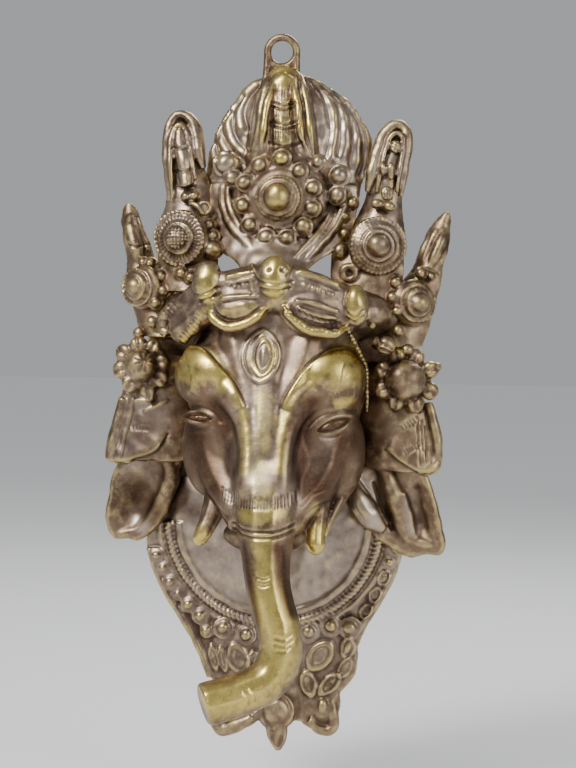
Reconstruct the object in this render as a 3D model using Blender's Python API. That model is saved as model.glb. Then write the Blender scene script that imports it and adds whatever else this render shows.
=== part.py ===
"""Ganesha wall plaque: an elephant head with crown, ears and collar, cast in brass in one piece.

The origin is the middle of the hanging loop's hole, on the wall's plane. X points to the viewer's
right, Z up and Y into the wall, so that everything stands at minus Y.
"""

from math import atan2, cos, degrees, pi, radians, sin

import bmesh
import bpy
from mathutils import Matrix, Vector

# Driving dimensions, in metres
HEIGHT = 0.503  # from the top of the loop to the tip of the collar
LOOP_HOLE = 0.015  # width of the loop's hole
LOOP_ROD = 0.0055  # thickness of the loop's rod
PLATE = 0.005  # thickness of crown, leaves, ears and collar
HEAD_WALL = 0.0055  # thickness of the hollow head
BACK_RELIEF = 0.004  # how far the loop stands off the wall

# How finely the casting is meshed
GRAIN = 0.0015
FACES = 8800

# The carving keeps its proportions: its lengths are shares of the height, which is 503 of them.
SHARE = HEIGHT / 503.0

# The head's masses: middle x, z and depth, then half width, half height and half depth, in shares
HEAD_MASSES = (
    (4, -228, 32, 63, 66, 42),
    (5, -190, 30, 56, 36, 40),
    (4.5, -252, 42, 52, 56, 34),
    (-37, -274, 42, 21.5, 36, 24),
    (46.5, -275, 42, 21.5, 36, 24),
    (5, -284, 54, 36, 46, 31),
)
# The brim under the headband, which isn't hollow
BRIM = (6, -184, 20, 84, 21, 48)
# The mouth of the hollow, where the head is open to the wall
HOLLOW_MOUTH = (4, -232, 0, 58, 80, 34)
# The collar: the depth of its plate, the middle, half width and half height of its rope, in shares
COLLAR_DEPTH = 6
ROPE = (1, -328, 76, 73)
CHEST_BULGE = 17
# The hood's folds: how proud they stand, in shares, and how far apart they are, in degrees
FOLD_HEIGHT = 2.6
FOLD_PITCH = 8.5
# The trunk's middle line and its half thickness, from the root to the open end, in shares
TRUNK = (
    (5, -282, 62, 27),
    (6, -305, 74, 24.5),
    (7, -324, 82, 21),
    (8, -343, 88, 17),
    (10, -361, 92, 15.4),
    (14, -377, 94, 15.2),
    (18.5, -392, 95, 15.2),
    (19.5, -408, 96, 15),
    (13, -423, 99, 14.6),
    (-3, -432, 106, 14.8),
    (-28, -439.5, 116, 15),
)


def at(x, z, depth):
    """A point given in shares: x to the right, z up, depth out of the wall."""
    return Vector((x, -depth, z)) * SHARE


def spot(x, z, depth, turn=0, lean=0):
    """A place on the casting, turned to the right and leaning back by so many degrees."""
    turned = Matrix.Rotation(radians(turn), 4, "Z") @ Matrix.Rotation(radians(-lean), 4, "X")
    return Matrix.Translation(at(x, z, depth)) @ turned


def smooth_run(points, steps):
    """More points on a smooth curve through the given ones."""
    run = []
    last = len(points) - 1
    for i in range(last):
        before = points[max(i - 1, 0)]
        start = points[i]
        end = points[i + 1]
        after = points[min(i + 2, last)]
        for step in range(steps):
            t = step / steps
            weights = (
                (-t**3 + 2 * t**2 - t) / 2,
                (3 * t**3 - 5 * t**2 + 2) / 2,
                (-3 * t**3 + 4 * t**2 + t) / 2,
                (t**3 - t**2) / 2,
            )
            corners = zip(before, start, end, after)
            run.append([sum(w * c for w, c in zip(weights, four)) for four in corners])
    run.append(list(points[last]))
    return run


def loft(mesh, rings, closed=False):
    """Skin over rings of points, with flat ends or joined into a hoop."""
    made = [[mesh.verts.new(point) for point in ring] for ring in rings]
    pairs = list(zip(made, made[1:] + made[:1]))
    if not closed:
        pairs.pop()
        mesh.faces.new(reversed(made[0]))
        mesh.faces.new(made[-1])
    for first, second in pairs:
        for side in range(len(first)):
            after = (side + 1) % len(first)
            mesh.faces.new((first[side], first[after], second[after], second[side]))


def ball(mesh, place, width, height, depth, sides=14, bands=9):
    """An egg of the given half width, half height and half depth, in shares."""
    rings = []
    for band in range(bands):
        rise = pi * (band + 0.35) / (bands - 0.3)
        points = []
        for side in range(sides):
            angle = 2 * pi * side / sides
            flat = (width * sin(rise) * cos(angle), depth * sin(rise) * sin(angle))
            points.append(place @ (Vector((*flat, height * cos(rise))) * SHARE))
        rings.append(points)
    loft(mesh, rings)


def tube(mesh, points, steps=4, sides=10, closed=False):
    """A round bar through points of x, z, depth and radius, in shares."""
    run = smooth_run(points, steps) if not closed else list(points)
    centres = [at(*point[:3]) for point in run]
    rings = []
    for i, centre in enumerate(centres):
        if closed:
            along = centres[(i + 1) % len(centres)] - centres[i - 1]
        else:
            along = centres[min(i + 1, len(centres) - 1)] - centres[max(i - 1, 0)]
        along.normalize()
        across = along.cross(Vector((0, 1, 0)))
        if across.length < 0.2:
            across = along.cross(Vector((1, 0, 0)))
        across.normalize()
        other = along.cross(across)
        radius = run[i][3] * SHARE
        ring_points = []
        for side in range(sides):
            angle = 2 * pi * side / sides
            ring_points.append(centre + radius * (cos(angle) * across + sin(angle) * other))
        rings.append(ring_points)
    loft(mesh, rings, closed)


def ring(mesh, place, radius, rod, height=None, count=28):
    """A round or oval ring of a rod, lying in the plane that faces the viewer."""
    tall = height or radius
    points = []
    for i in range(count):
        angle = 2 * pi * i / count
        spot_on = place @ (Vector((radius * cos(angle), 0, tall * sin(angle))) * SHARE)
        points.append((spot_on.x / SHARE, spot_on.z / SHARE, -spot_on.y / SHARE, rod))
    tube(mesh, points, sides=8, closed=True)


def beads_round(mesh, place, radius, size, count, height=None, start=0.0, sweep=360.0):
    """Beads on a circle or an oval that faces the viewer."""
    tall = height or radius
    for i in range(count):
        angle = radians(start + sweep * i / count)
        here = Matrix.Translation(Vector((radius * cos(angle), 0, tall * sin(angle))) * SHARE)
        ball(mesh, place @ here, size, size, size)


def shell(mesh, rows, steps=3, columns=14, lift=None):
    """A bulging plate from rows of z, left x, right x, depth at the edges and in the middle.

    A lift, if given, adds its own depth at each x and z.
    """
    thick = PLATE / SHARE
    front = []
    back = []
    for z, left, right, edge, middle in smooth_run(rows, steps):
        front_row = []
        back_row = []
        for column in range(columns + 1):
            share = 2 * column / columns - 1
            x = left + (right - left) * (share + 1) / 2
            depth = edge + (middle - edge) * (1 - share * share)
            if lift:
                depth += lift(x, z)
            front_row.append(mesh.verts.new(at(x, z, depth)))
            back_row.append(mesh.verts.new(at(x, z, depth - thick)))
        front.append(front_row)
        back.append(back_row)
    for side, flip in ((front, False), (back, True)):
        for upper, lower in zip(side, side[1:]):
            for column in range(columns):
                face = [upper[column], lower[column], lower[column + 1], upper[column + 1]]
                mesh.faces.new(reversed(face) if flip else face)
    border = [row[0] for row in front] + front[-1][1:]
    border += [row[-1] for row in reversed(front[:-1])] + front[0][-2:0:-1]
    behind = [row[0] for row in back] + back[-1][1:]
    behind += [row[-1] for row in reversed(back[:-1])] + back[0][-2:0:-1]
    for i in range(len(border)):
        after = (i + 1) % len(border)
        mesh.faces.new((border[i], behind[i], behind[after], border[after]))


def curl(mesh, x, z, depth, radius, rod, start, sweep):
    """A tendril that rolls in on itself like a snail."""
    points = []
    for i in range(9):
        angle = radians(start + sweep * i / 8)
        reach = radius * (1 - 0.62 * i / 8)
        points.append((x + reach * cos(angle), z + reach * sin(angle), depth, rod * (1 - 0.3 * i / 8)))
    tube(mesh, points, steps=2, sides=8)


def hanging_loop(mesh):
    """The ring that hangs on a nail, and its foot on the crown."""
    rod = LOOP_ROD / 2 / SHARE
    radius = LOOP_HOLE / 2 / SHARE + rod
    depth = BACK_RELIEF / SHARE + 0.5
    ring(mesh, spot(0, 0, depth), radius, rod, count=32)
    tube(mesh, ((0, -radius - rod, depth, 2.2 * rod), (2, -24, depth + 2, 2.8 * rod)), steps=2)


def hood_folds(x, z):
    """How far the hood's folds rise where they fan out from the loop, strongest to the right."""
    fan = degrees(atan2(x - 3, -z))
    strength = FOLD_HEIGHT * min(1.0, abs(fan) / 25) * min(1.0, max(0.0, -z - 16) / 12)
    return strength * abs(sin(radians(fan * 180 / FOLD_PITCH)))


def crown_dome(mesh):
    """The cloth-like hood at the back of the crown, with folds that fan out from the loop."""
    shell(
        mesh,
        (
            (-14, -2, 10, 4, 5),
            (-18, -15, 24, 4, 8),
            (-26, -25, 37, 4, 12),
            (-36, -33, 50, 4, 16),
            (-52, -43, 60, 4, 19),
            (-64, -47, 64, 4, 21),
            (-84, -52, 60, 6, 24),
            (-104, -52, 56, 8, 26),
            (-118, -46, 50, 14, 27),
        ),
        steps=6,
        columns=48,
        lift=hood_folds,
    )


def centre_leaf(mesh):
    """The pointed leaf in the middle of the crown: two pairs of ridges round a grooved column."""
    for side, spread in ((-1, 0), (1, 2)):
        for inner, rod in ((0, 2.4), (4.2, 1.7)):
            tube(
                mesh,
                (
                    (3 + side * 1.5, -17, 12, 1.8),
                    (3 + side * (9.5 - inner), -30, 18, rod),
                    (3 + side * (13 - inner), -44, 23, rod),
                    (3 + side * (16 - inner), -62, 27, rod),
                    (3 + side * (22 - inner + spread), -76, 29, rod),
                ),
            )
    for z, half, tall in ((-28, 4.6, 9), (-45, 5.8, 8.5), (-60, 6.4, 7.5), (-73, 6.6, 6)):
        ball(mesh, spot(3.5, z, 22 - (z + 45) * 0.2), half, tall, 7)


def crown_rosette(mesh):
    """The boss on the crown: a dome in a beaded dish, with a wreath of round beads."""
    middle = spot(3.5, -102, 32)
    ball(mesh, middle, 21, 23, 9)
    ring(mesh, spot(3.5, -102, 38), 18, 2.0, height=19.5)
    ring(mesh, spot(3.5, -102, 41), 12.4, 1.8)
    ball(mesh, spot(3.5, -102, 40), 8.8, 8.8, 7)
    beads_round(mesh, spot(3.5, -102, 34), 24.5, 5.2, 12, height=27.5, start=8)
    for x, z in ((-35, -81), (-33, -90), (45.5, -88), (43, -100)):
        ball(mesh, spot(x, z, 22), 4.6, 4.6, 4.6)


def crown_shield(mesh):
    """The sloping shield that carries the boss down to the forehead, with its double border."""
    shell(
        mesh,
        (
            (-96, -44, 52, 14, 25),
            (-112, -47, 55, 16, 28),
            (-126, -48, 56, 20, 33),
            (-137, -45, 55, 26, 40),
            (-142, -30, 40, 32, 45),
            (-147, -17, 27, 40, 50),
            (-152, -14, 22, 46, 56),
            (-166, -14, 24, 54, 64),
        ),
    )
    for side, middle in ((-1, 2), (1, 6)):
        for inner in (0, 5):
            tube(
                mesh,
                (
                    (middle + side * (38 - inner), -100, 24, 2),
                    (middle + side * (32 - inner), -118, 27, 2.1),
                    (middle + side * (24 - inner), -134, 33, 2.1),
                    (middle + side * (14 - inner * 0.6), -148, 48, 2.1),
                ),
            )


def leaf_ridges(mesh, tip, foot, half, depths, layers):
    """Nested pointed arches on a leaf, one in another, round a stack of three lobes."""
    for layer in range(layers):
        share = 1 - 0.36 * layer
        top = tip[1] - 4 - 13 * layer
        for side in (-1, 1):
            tube(
                mesh,
                (
                    (tip[0] + side * 0.8, top, depths[0] + 5 + layer, 1.9),
                    (tip[0] + side * half * 0.62 * share, top - 11, depths[0] + 6 + layer, 2.2),
                    (
                        (tip[0] + foot[0]) / 2 + side * half * 0.92 * share,
                        (top + foot[1]) / 2,
                        depths[0] + 9 + layer,
                        2.3,
                    ),
                    (foot[0] + side * half * share, foot[1] + 8, depths[1] + 4 + layer, 2),
                ),
            )
    for i in range(3):
        along = 0.42 + 0.2 * i
        x = tip[0] + (foot[0] - tip[0]) * along
        z = tip[1] + (foot[1] - tip[1]) * along
        ball(mesh, spot(x, z, depths[0] + 10 + 2 * i), 4.2, 7, 4)


def leaf_rosette(mesh, x, z, depth, turn, size):
    """The round boss at the foot of a leaf, looking outward."""
    place = spot(x, z, depth, turn)
    ball(mesh, place, 19.5 * size, 20 * size, 8 * size)
    front = place @ Matrix.Translation(Vector((0, -5.5, 0)) * SHARE)
    ring(mesh, front, 16.5 * size, 1.8)
    beads_round(mesh, front, 12.2 * size, 2.3, 16)
    ball(mesh, front, 8.2 * size, 8.2 * size, 7 * size)


def inner_leaves(mesh):
    """The two tall leaves beside the crown, each with its rosette."""
    shell(
        mesh,
        (
            (-42, -73, -69, 6, 8),
            (-50, -78.5, -62, 6, 10),
            (-64, -81, -56.5, 7, 13),
            (-84, -80, -50.5, 9, 16),
            (-104, -79.5, -44, 12, 20),
            (-124, -84, -46, 16, 26),
            (-146, -82, -48, 22, 30),
            (-168, -78, -40, 28, 36),
        ),
    )
    leaf_ridges(mesh, (-70.5, -43), (-66, -112), 12.5, (6, 14), 2)
    leaf_rosette(mesh, -66.2, -130.5, 30, -14, 1.0)
    curl(mesh, -57.5, -100, 20, 5.4, 1.9, 200, -420)
    curl(mesh, -46.5, -109, 21, 5.2, 1.9, 120, -420)
    ball(mesh, spot(-50.5, -139, 33), 8.5, 8, 7)
    shell(
        mesh,
        (
            (-48, 78.5, 82.5, 6, 8),
            (-56, 72, 90, 6, 10),
            (-68, 66, 93, 7, 13),
            (-86, 62.5, 90, 9, 16),
            (-104, 60, 87.5, 12, 20),
            (-124, 55, 90, 16, 26),
            (-146, 54, 90, 22, 30),
            (-174, 50, 90, 28, 36),
        ),
    )
    leaf_ridges(mesh, (80.5, -49), (74, -114), 12.5, (6, 14), 2)
    leaf_rosette(mesh, 73.3, -133.2, 30, 16, 1.0)
    ball(mesh, spot(50, -139, 31), 6.5, 6.5, 6.5)
    ring(mesh, spot(54, -155, 36), 5.5, 2.4, count=14)
    ball(mesh, spot(56, -158, 33), 6, 6, 5)


def outer_leaves(mesh):
    """The two lower leaves at the sides of the crown, with rosettes that look outward."""
    shell(
        mesh,
        (
            (-107, -108.5, -105, 5, 6),
            (-114, -113, -100, 5, 8),
            (-126, -111.5, -94, 6, 11),
            (-144, -108, -86, 9, 15),
            (-160, -106.5, -74, 14, 20),
            (-178, -101, -68, 18, 26),
            (-200, -94, -62, 22, 32),
        ),
    )
    leaf_rosette(mesh, -92, -165.7, 24, -34, 0.82)
    tube(mesh, ((-106, -110, 9, 1.6), (-104, -128, 14, 2.4), (-98, -148, 20, 2.4)))
    shell(
        mesh,
        (
            (-110, 115, 119, 5, 6),
            (-119, 107, 120.5, 5, 8),
            (-130, 100.5, 119.5, 6, 11),
            (-148, 94.5, 116.5, 9, 15),
            (-164, 84, 114, 14, 20),
            (-182, 76, 110.5, 18, 26),
            (-204, 68, 104, 22, 32),
        ),
    )
    leaf_rosette(mesh, 100.5, -174.3, 24, 36, 0.82)
    tube(mesh, ((116, -114, 9, 1.6), (113, -134, 14, 2.4), (107, -154, 20, 2.4)))


def headband(mesh):
    """The band over the forehead, its three big beads and the two half-round medallions below."""
    band = (
        (-74, -196, 38, 7),
        (-62, -182, 52, 7.5),
        (-38, -168, 65, 8),
        (-14, -161, 71, 8),
        (7, -160, 73, 8),
        (32, -165, 71, 8),
        (62, -178, 63, 8),
        (80, -194, 50, 7.5),
        (88, -206, 38, 7),
    )
    tube(mesh, band, steps=4, sides=12)
    ball(mesh, spot(*BRIM[:3]), *BRIM[3:], sides=24)
    ball(mesh, spot(6.8, -160.6, 76), 11, 14.5, 9)
    ball(mesh, spot(-37.4, -164.3, 68, -18), 9.8, 12.6, 8.5)
    ball(mesh, spot(62.8, -175.5, 65, 22), 9, 13.2, 8.5)
    for x, z, turn in ((-16, -175, -10), (36, -180, 12)):
        medallion = spot(x, z, 71, turn, lean=-8)
        ball(mesh, medallion, 22, 16, 6)
        ring(mesh, medallion @ Matrix.Translation(Vector((0, -3.5, 0)) * SHARE), 21, 2.0, height=15.5)
        ball(mesh, spot(x, z - 4, 76, turn), 5.5, 4, 4)
    ball(mesh, spot(-67.5, -194, 50), 6.2, 6.8, 6.2)
    ball(mesh, spot(81, -204, 50), 6.2, 6.8, 6.2)


def head(mesh):
    """Skull, cheeks and the root of the trunk, with the two heavy brows."""
    for x, z, depth, width, tall, deep in HEAD_MASSES:
        ball(mesh, spot(x, z, depth), width, tall, deep)
    for side in (-1, 1):
        ball(mesh, spot(5 + side * 37.5, -226, 51, 16 * side), 26, 23, 24)
        tube(
            mesh,
            (
                (5.5 + side * 32, -232, 60, 15),
                (5.5 + side * 20, -243, 69, 11),
                (5.5 + side * 12.5, -258, 76, 8.5),
                (5.5 + side * 10.5, -276, 81, 8),
                (5.5 + side * 10, -298, 86, 9),
            ),
            sides=14,
        )
    ball(mesh, spot(-1, -336, 36), 36, 16, 22)


def eyes(mesh):
    """The eyes under the brows and the upright third eye between them."""
    for x, z, turn in ((-42, -254, -28), (50.5, -256, 28)):
        ball(mesh, spot(x, z, 60, turn), 11.5, 6.2, 7)
        for rise, rod in ((7.2, 1.8), (-6.4, 1.6)):
            tube(
                mesh,
                (
                    (x - 13, z - 1.5, 60 + (4 if x > 0 else -5), rod),
                    (x - 6, z + rise, 64, rod),
                    (x + 5, z + rise, 64, rod),
                    (x + 13, z - 1.5, 60 + (-5 if x > 0 else 4), rod),
                ),
            )
    middle = spot(2.5, -211, 72)
    ball(mesh, middle, 8.5, 14, 6)
    outline = []
    for i in range(24):
        angle = 2 * pi * i / 24
        width = 13.0 * abs(cos(angle)) ** 1.35 * (1 if cos(angle) > 0 else -1)
        outline.append((2.5 + width, -211 + 19 * sin(angle), 74.5 - abs(sin(angle)), 1.7))
    tube(mesh, outline, sides=8, closed=True)


def trunk(mesh):
    """The trunk, which hangs free and curls to the left at its end, with rings at its root."""
    tube(mesh, TRUNK, steps=4, sides=20)
    for x, z, depth, radius in ((5.5, -309, 78, 23.5), (6.5, -322, 82, 22.4), (7, -330, 84.5, 21)):
        ring(mesh, spot(x, z, depth, lean=62), radius, 1.6)


def tusks(mesh):
    """The two short tusks beside the trunk."""
    for x, root, tip, spread in ((-37.4, -300, -336, -2.5), (34.5, -298, -340, 5)):
        tube(
            mesh,
            (
                (x, root, 55, 7),
                (x + spread * 0.3, root - 10, 61, 6.6),
                (x + spread * 0.7, tip + 9, 67, 6.2),
                (x + spread, tip + 1, 69.5, 4.2),
                (x + spread, tip - 1.5, 70, 2),
            ),
            sides=12,
        )


def left_ear(mesh):
    """The left ear: a square upper lobe with a rolled edge, folded over a hollow lower one."""
    shell(
        mesh,
        (
            (-232, -105, -60, 16, 24),
            (-237, -107, -58, 17, 26),
            (-252, -111, -56, 18, 28),
            (-270, -115, -54, 19, 29),
            (-284, -116.5, -56, 20, 29),
            (-290, -117, -70, 21, 27),
        ),
    )
    shell(
        mesh,
        (
            (-284, -110, -52, 18, 18),
            (-298, -114.5, -56, 19, 14),
            (-316, -116, -62, 19, 12),
            (-330, -116.5, -70, 18, 11),
            (-338, -114.5, -82, 17, 12),
            (-342, -112, -98, 16, 14),
        ),
    )
    lower_edge = (
        (-107, -292, 21, 1.8),
        (-114.5, -312, 21, 2.4),
        (-114, -338, 19, 2.4),
        (-92, -337, 18, 2.2),
        (-74, -314, 20, 2.2),
        (-67, -292, 24, 2),
    )
    tube(mesh, lower_edge)
    tube(mesh, ((-105.5, -238, 20, 2.2), (-112, -264, 23, 2.8), (-114.5, -288, 24, 2.8)))


def right_ear(mesh):
    """The right ear, a little lower and longer than the left one."""
    shell(
        mesh,
        (
            (-237, 62, 104, 16, 24),
            (-246, 60, 110, 17, 26),
            (-258, 60, 115, 18, 28),
            (-272, 60, 118, 19, 29),
            (-284, 62, 117, 20, 29),
            (-291, 78, 110, 21, 27),
        ),
    )
    shell(
        mesh,
        (
            (-286, 58, 108, 18, 18),
            (-300, 60, 111, 19, 14),
            (-316, 64, 115.5, 19, 12),
            (-332, 72, 119, 18, 11),
            (-342, 86, 121, 17, 12),
            (-347, 100, 116, 16, 14),
        ),
    )
    lower_edge = (
        (105, -294, 21, 1.8),
        (114, -314, 21, 2.4),
        (119, -342, 19, 2.4),
        (96, -343, 18, 2.2),
        (79, -326, 20, 2.2),
        (70, -298, 24, 2),
    )
    tube(mesh, lower_edge)
    tube(mesh, ((105, -240, 20, 2.2), (114, -258, 23, 2.8), (115.5, -284, 24, 2.8)))


def ear_flowers(mesh):
    """The round flowers over the ears, each a ball in a ring of petals."""
    for x, z, turn in ((-86, -220, -22), (93.5, -224, 24)):
        place = spot(x, z, 34, turn)
        tube(mesh, ((x * 0.72, z, 14, 12), (x * 0.9, z, 24, 13), (x, z, 34, 15)), sides=14)
        ball(mesh, place @ Matrix.Translation(Vector((0, -10, 0)) * SHARE), 11, 11, 10)
        beads_round(mesh, place @ Matrix.Translation(Vector((0, -3, 0)) * SHARE), 15.5, 5.2, 9)


def chest_lift(x, z):
    """How far the chest bulges out of the collar's plate inside the rope."""
    out_x = (x - ROPE[0]) / ROPE[2]
    out_z = (z - ROPE[1]) / ROPE[3]
    return CHEST_BULGE * max(0.0, 1 - out_x**2 - out_z**2) ** 0.8


def round_the_rope(angle, share, above):
    """A point on the collar, at a share of the way from the rope's middle to the rope."""
    x = ROPE[0] + share * ROPE[2] * cos(radians(angle))
    z = ROPE[1] + share * ROPE[3] * sin(radians(angle))
    return x, z, COLLAR_DEPTH + chest_lift(x, z) + above


def collar(mesh):
    """The broad collar: a smooth chest inside a rope, and a carved border that ends in a drop."""
    outline = (
        (-176, -70, 78),
        (-192, -88, 94),
        (-212, -92, 96),
        (-234, -86, 90),
        (-256, -76, 80),
        (-290, -78, 84),
        (-322, -87, 89),
        (-349, -90, 90),
        (-366, -84.5, 85),
        (-384, -75, 77),
        (-402, -64, 67),
        (-418, -52, 60),
        (-436, -43, 53),
        (-452, -40, 45),
        (-468, -38, 46),
    )
    rows = [(z, left, right, COLLAR_DEPTH, COLLAR_DEPTH) for z, left, right in outline]
    shell(mesh, rows, columns=24, lift=chest_lift)
    for share, rod in ((0.88, 2.4), (1.07, 1.7)):
        arc = [(*round_the_rope(184 + 172 * i / 24, share, 1), rod) for i in range(25)]
        tube(mesh, arc, steps=1, sides=8)
    for i in range(46):
        ball(mesh, spot(*round_the_rope(182 + 176 * i / 45, 0.985, 2)), 3.1, 3.1, 3.3)
    for side, middle in ((-1, 0), (1, 1)):
        rim = []
        for out, z in ((88, -350), (82, -368), (72, -386), (60, -404), (49, -424), (43, -440)):
            rim.append((middle + side * out, z, COLLAR_DEPTH, 3.2))
        tube(mesh, rim)
    for x, z in ((-32, -406), (44, -400), (57, -402), (27, -407), (-18, -412), (-48, -396)):
        ring(mesh, spot(x, z, COLLAR_DEPTH + 2), 4.6, 1.9, count=14)
        ball(mesh, spot(x, z, COLLAR_DEPTH + 1), 3, 3, 4)
    tendrils = (
        (74, -376, 60),
        (-72, -377, 120),
        (80, -360, 40),
        (-79, -361, 140),
        (-30, -428, 150),
        (24, -430, 30),
        (-14, -446, 150),
        (36, -450, 30),
    )
    for x, z, start in tendrils:
        curl(mesh, x, z, COLLAR_DEPTH + 2, 7, 2.3, start, 400 if x > 0 else -400)


def collar_drop(mesh):
    """The lower end of the collar: a boss over a pointed drop, between two curled leaves."""
    pad = at(5, -463, 0)
    bmesh.ops.create_cone(
        mesh,
        cap_ends=True,
        segments=24,
        radius1=13 * SHARE,
        radius2=13 * SHARE,
        depth=16 * SHARE,
        matrix=Matrix.Translation(pad) @ Matrix.Rotation(pi / 2, 4, "X"),
    )
    ball(mesh, spot(5, -463.5, 7), 9, 9, 7)
    ring(mesh, spot(5, -463.5, 8), 10.5, 2.0, count=20)
    tube(mesh, ((4, -470, 4, 8), (5, -478, 4, 7.2), (7, -487, 4, 4), (7.6, -491.5, 4, 1.4)), sides=14)
    for side, middle in ((-1, -4), (1, 8)):
        tube(
            mesh,
            (
                (middle + side * 34, -438, 6, 6),
                (middle + side * 32, -454, 6, 6),
                (middle + side * 34, -466, 6, 6.5),
                (middle + side * 27, -470, 7, 6),
                (middle + side * 19, -464, 8, 4),
            ),
        )


def hollow_cutter():
    """The space inside the head: its masses again, less the wall, and open to the wall side."""
    mesh = bmesh.new()
    wall = HEAD_WALL / SHARE
    for x, z, depth, width, tall, deep in (*HEAD_MASSES, HOLLOW_MOUTH):
        ball(mesh, spot(x, z, depth), width - wall, tall - wall, deep - wall)
    return closed_object("mask_hollow", mesh)


def wall_side_cutter():
    """Everything behind the wall's plane."""
    mesh = bmesh.new()
    deep = 60 * SHARE
    size = Matrix.Diagonal((2 * HEIGHT, deep, 3 * HEIGHT, 1))
    bmesh.ops.create_cube(mesh, size=1, matrix=Matrix.Translation((0, deep / 2, 0)) @ size)
    return closed_object("wall_side", mesh)


def closed_object(name, mesh):
    """An object made of the mesh, with its faces pointing out."""
    bmesh.ops.recalc_face_normals(mesh, faces=mesh.faces)
    data = bpy.data.meshes.new(name)
    mesh.to_mesh(data)
    mesh.free()
    new = bpy.data.objects.new(name, data)
    bpy.context.collection.objects.link(new)
    return new


def fused(new, grain):
    """One skin round all the shapes of the object."""
    remesh = new.modifiers.new("one skin", "REMESH")
    remesh.mode = "VOXEL"
    remesh.voxel_size = grain
    smooth = new.modifiers.new("cast softness", "SMOOTH")
    smooth.factor = 0.5
    smooth.iterations = 1


def thinned(new, faces):
    """Fewer, larger faces where the shape allows it."""
    found = len(new.evaluated_get(bpy.context.evaluated_depsgraph_get()).data.polygons)
    fewer = new.modifiers.new("fewer faces", "DECIMATE")
    fewer.ratio = min(1.0, faces / (2 * found))


def cut_by(new, cutter):
    """Takes the cutter's space away from the object."""
    cutter.hide_render = True
    cutter.display_type = "WIRE"
    cut = new.modifiers.new(cutter.name, "BOOLEAN")
    cut.operation = "DIFFERENCE"
    cut.solver = "EXACT"
    cut.object = cutter


def patinated_brass():
    """Old cast brass, brown in its hollows and yellow where hands and cloths have rubbed it."""
    material = bpy.data.materials.new("patinated_brass")
    material.use_nodes = True
    shader = material.node_tree.nodes["Principled BSDF"]
    shader.inputs["Base Color"].default_value = (0.23, 0.155, 0.085, 1)
    shader.inputs["Metallic"].default_value = 0.9
    shader.inputs["Roughness"].default_value = 0.42
    return material


for old in list(bpy.data.objects):
    bpy.data.objects.remove(old, do_unlink=True)

casting = bmesh.new()
for carve in (
    hanging_loop,
    crown_dome,
    centre_leaf,
    crown_rosette,
    crown_shield,
    inner_leaves,
    outer_leaves,
    headband,
    head,
    eyes,
    trunk,
    tusks,
    left_ear,
    right_ear,
    ear_flowers,
    collar,
    collar_drop,
):
    carve(casting)
plaque = closed_object("ganesha_plaque", casting)
plaque.data.materials.append(patinated_brass())
fused(plaque, GRAIN)
thinned(plaque, FACES)

hollow = hollow_cutter()
fused(hollow, 2 * GRAIN)
thinned(hollow, FACES // 12)
cut_by(plaque, hollow)
cut_by(plaque, wall_side_cutter())
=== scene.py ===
# %% [markdown]
# # A cast brass elephant mask for a wall
# A plaque like this is modelled in wax, bead by bead and roll by roll, and cast in brass in one piece.
# It could be sculpted by hand from one lump, but a script has no hand to feel the clay with. So this
# lesson follows the wax modeller instead: lumps and rolls are laid on each other, pressed into one
# skin and smoothed, and then lines are cut into the skin with small tools.
# What is loaded first is the plain engineering model. Everything here lies in its coordinates.

# %% Load the frame
from math import cos, pi, radians, sin

import bpy
import numpy as np
from mathutils import Matrix, Vector, noise


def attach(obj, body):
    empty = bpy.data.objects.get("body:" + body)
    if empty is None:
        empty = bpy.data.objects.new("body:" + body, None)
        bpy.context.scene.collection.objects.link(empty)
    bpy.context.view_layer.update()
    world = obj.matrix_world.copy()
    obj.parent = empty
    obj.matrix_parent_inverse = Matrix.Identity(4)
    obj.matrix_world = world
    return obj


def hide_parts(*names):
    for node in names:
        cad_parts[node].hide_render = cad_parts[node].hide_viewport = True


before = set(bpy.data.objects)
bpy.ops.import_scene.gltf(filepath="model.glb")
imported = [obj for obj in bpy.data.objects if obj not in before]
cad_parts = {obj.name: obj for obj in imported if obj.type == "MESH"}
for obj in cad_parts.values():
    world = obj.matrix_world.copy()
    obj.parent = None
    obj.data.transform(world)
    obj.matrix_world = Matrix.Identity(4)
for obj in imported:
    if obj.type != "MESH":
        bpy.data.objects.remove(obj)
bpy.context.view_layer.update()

SOLID = "ganesha_plaque"
MM = 0.001

# %% [markdown]
# ## Lumps, rings and rolls of wax
# Places are given as a modeller reads them from the front: x to the right and z up from the loop's
# hole, and depth out of the wall, all in millimetres. One function turns them into Blender's metres.
# A lump could be a cube that is subdivided, and a roll a cylinder that is bent. A scaled sphere and a
# bevelled curve through a few points do the same with fewer numbers, and they taper where they should.

# %% Places and lumps of wax


def deselect():
    """Leaves nothing selected, because an operator acts on all that is."""
    bpy.ops.object.select_all(action="DESELECT")


def select_only(piece):
    """Makes one object the only one that the next operator acts on."""
    deselect()
    piece.select_set(True)
    bpy.context.view_layer.objects.active = piece


def place(x, z, depth):
    """A place in millimetres as seen from the front, in Blender's metres."""
    return Vector((x, -depth, z)) * MM


def egg(x, z, depth, width, height, thick, turn=0, rings=14):
    """A lump with these half sizes, turned to the right by so many degrees."""
    bpy.ops.mesh.primitive_uv_sphere_add(
        segments=2 * rings,
        ring_count=rings,
        radius=MM,
        location=place(x, z, depth),
        rotation=(0, 0, radians(turn)),
    )
    lump = bpy.context.object
    lump.scale = (width, thick, height)
    return lump


def hoop(x, z, depth, radius, rod, turn=0, count=36):
    """A ring of a round rod that faces the viewer, or is turned to the right."""
    bpy.ops.mesh.primitive_torus_add(
        major_segments=count,
        minor_segments=10,
        major_radius=radius * MM,
        minor_radius=rod * MM,
        location=place(x, z, depth),
        rotation=(radians(90), 0, radians(turn)),
    )
    return bpy.context.object


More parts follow.
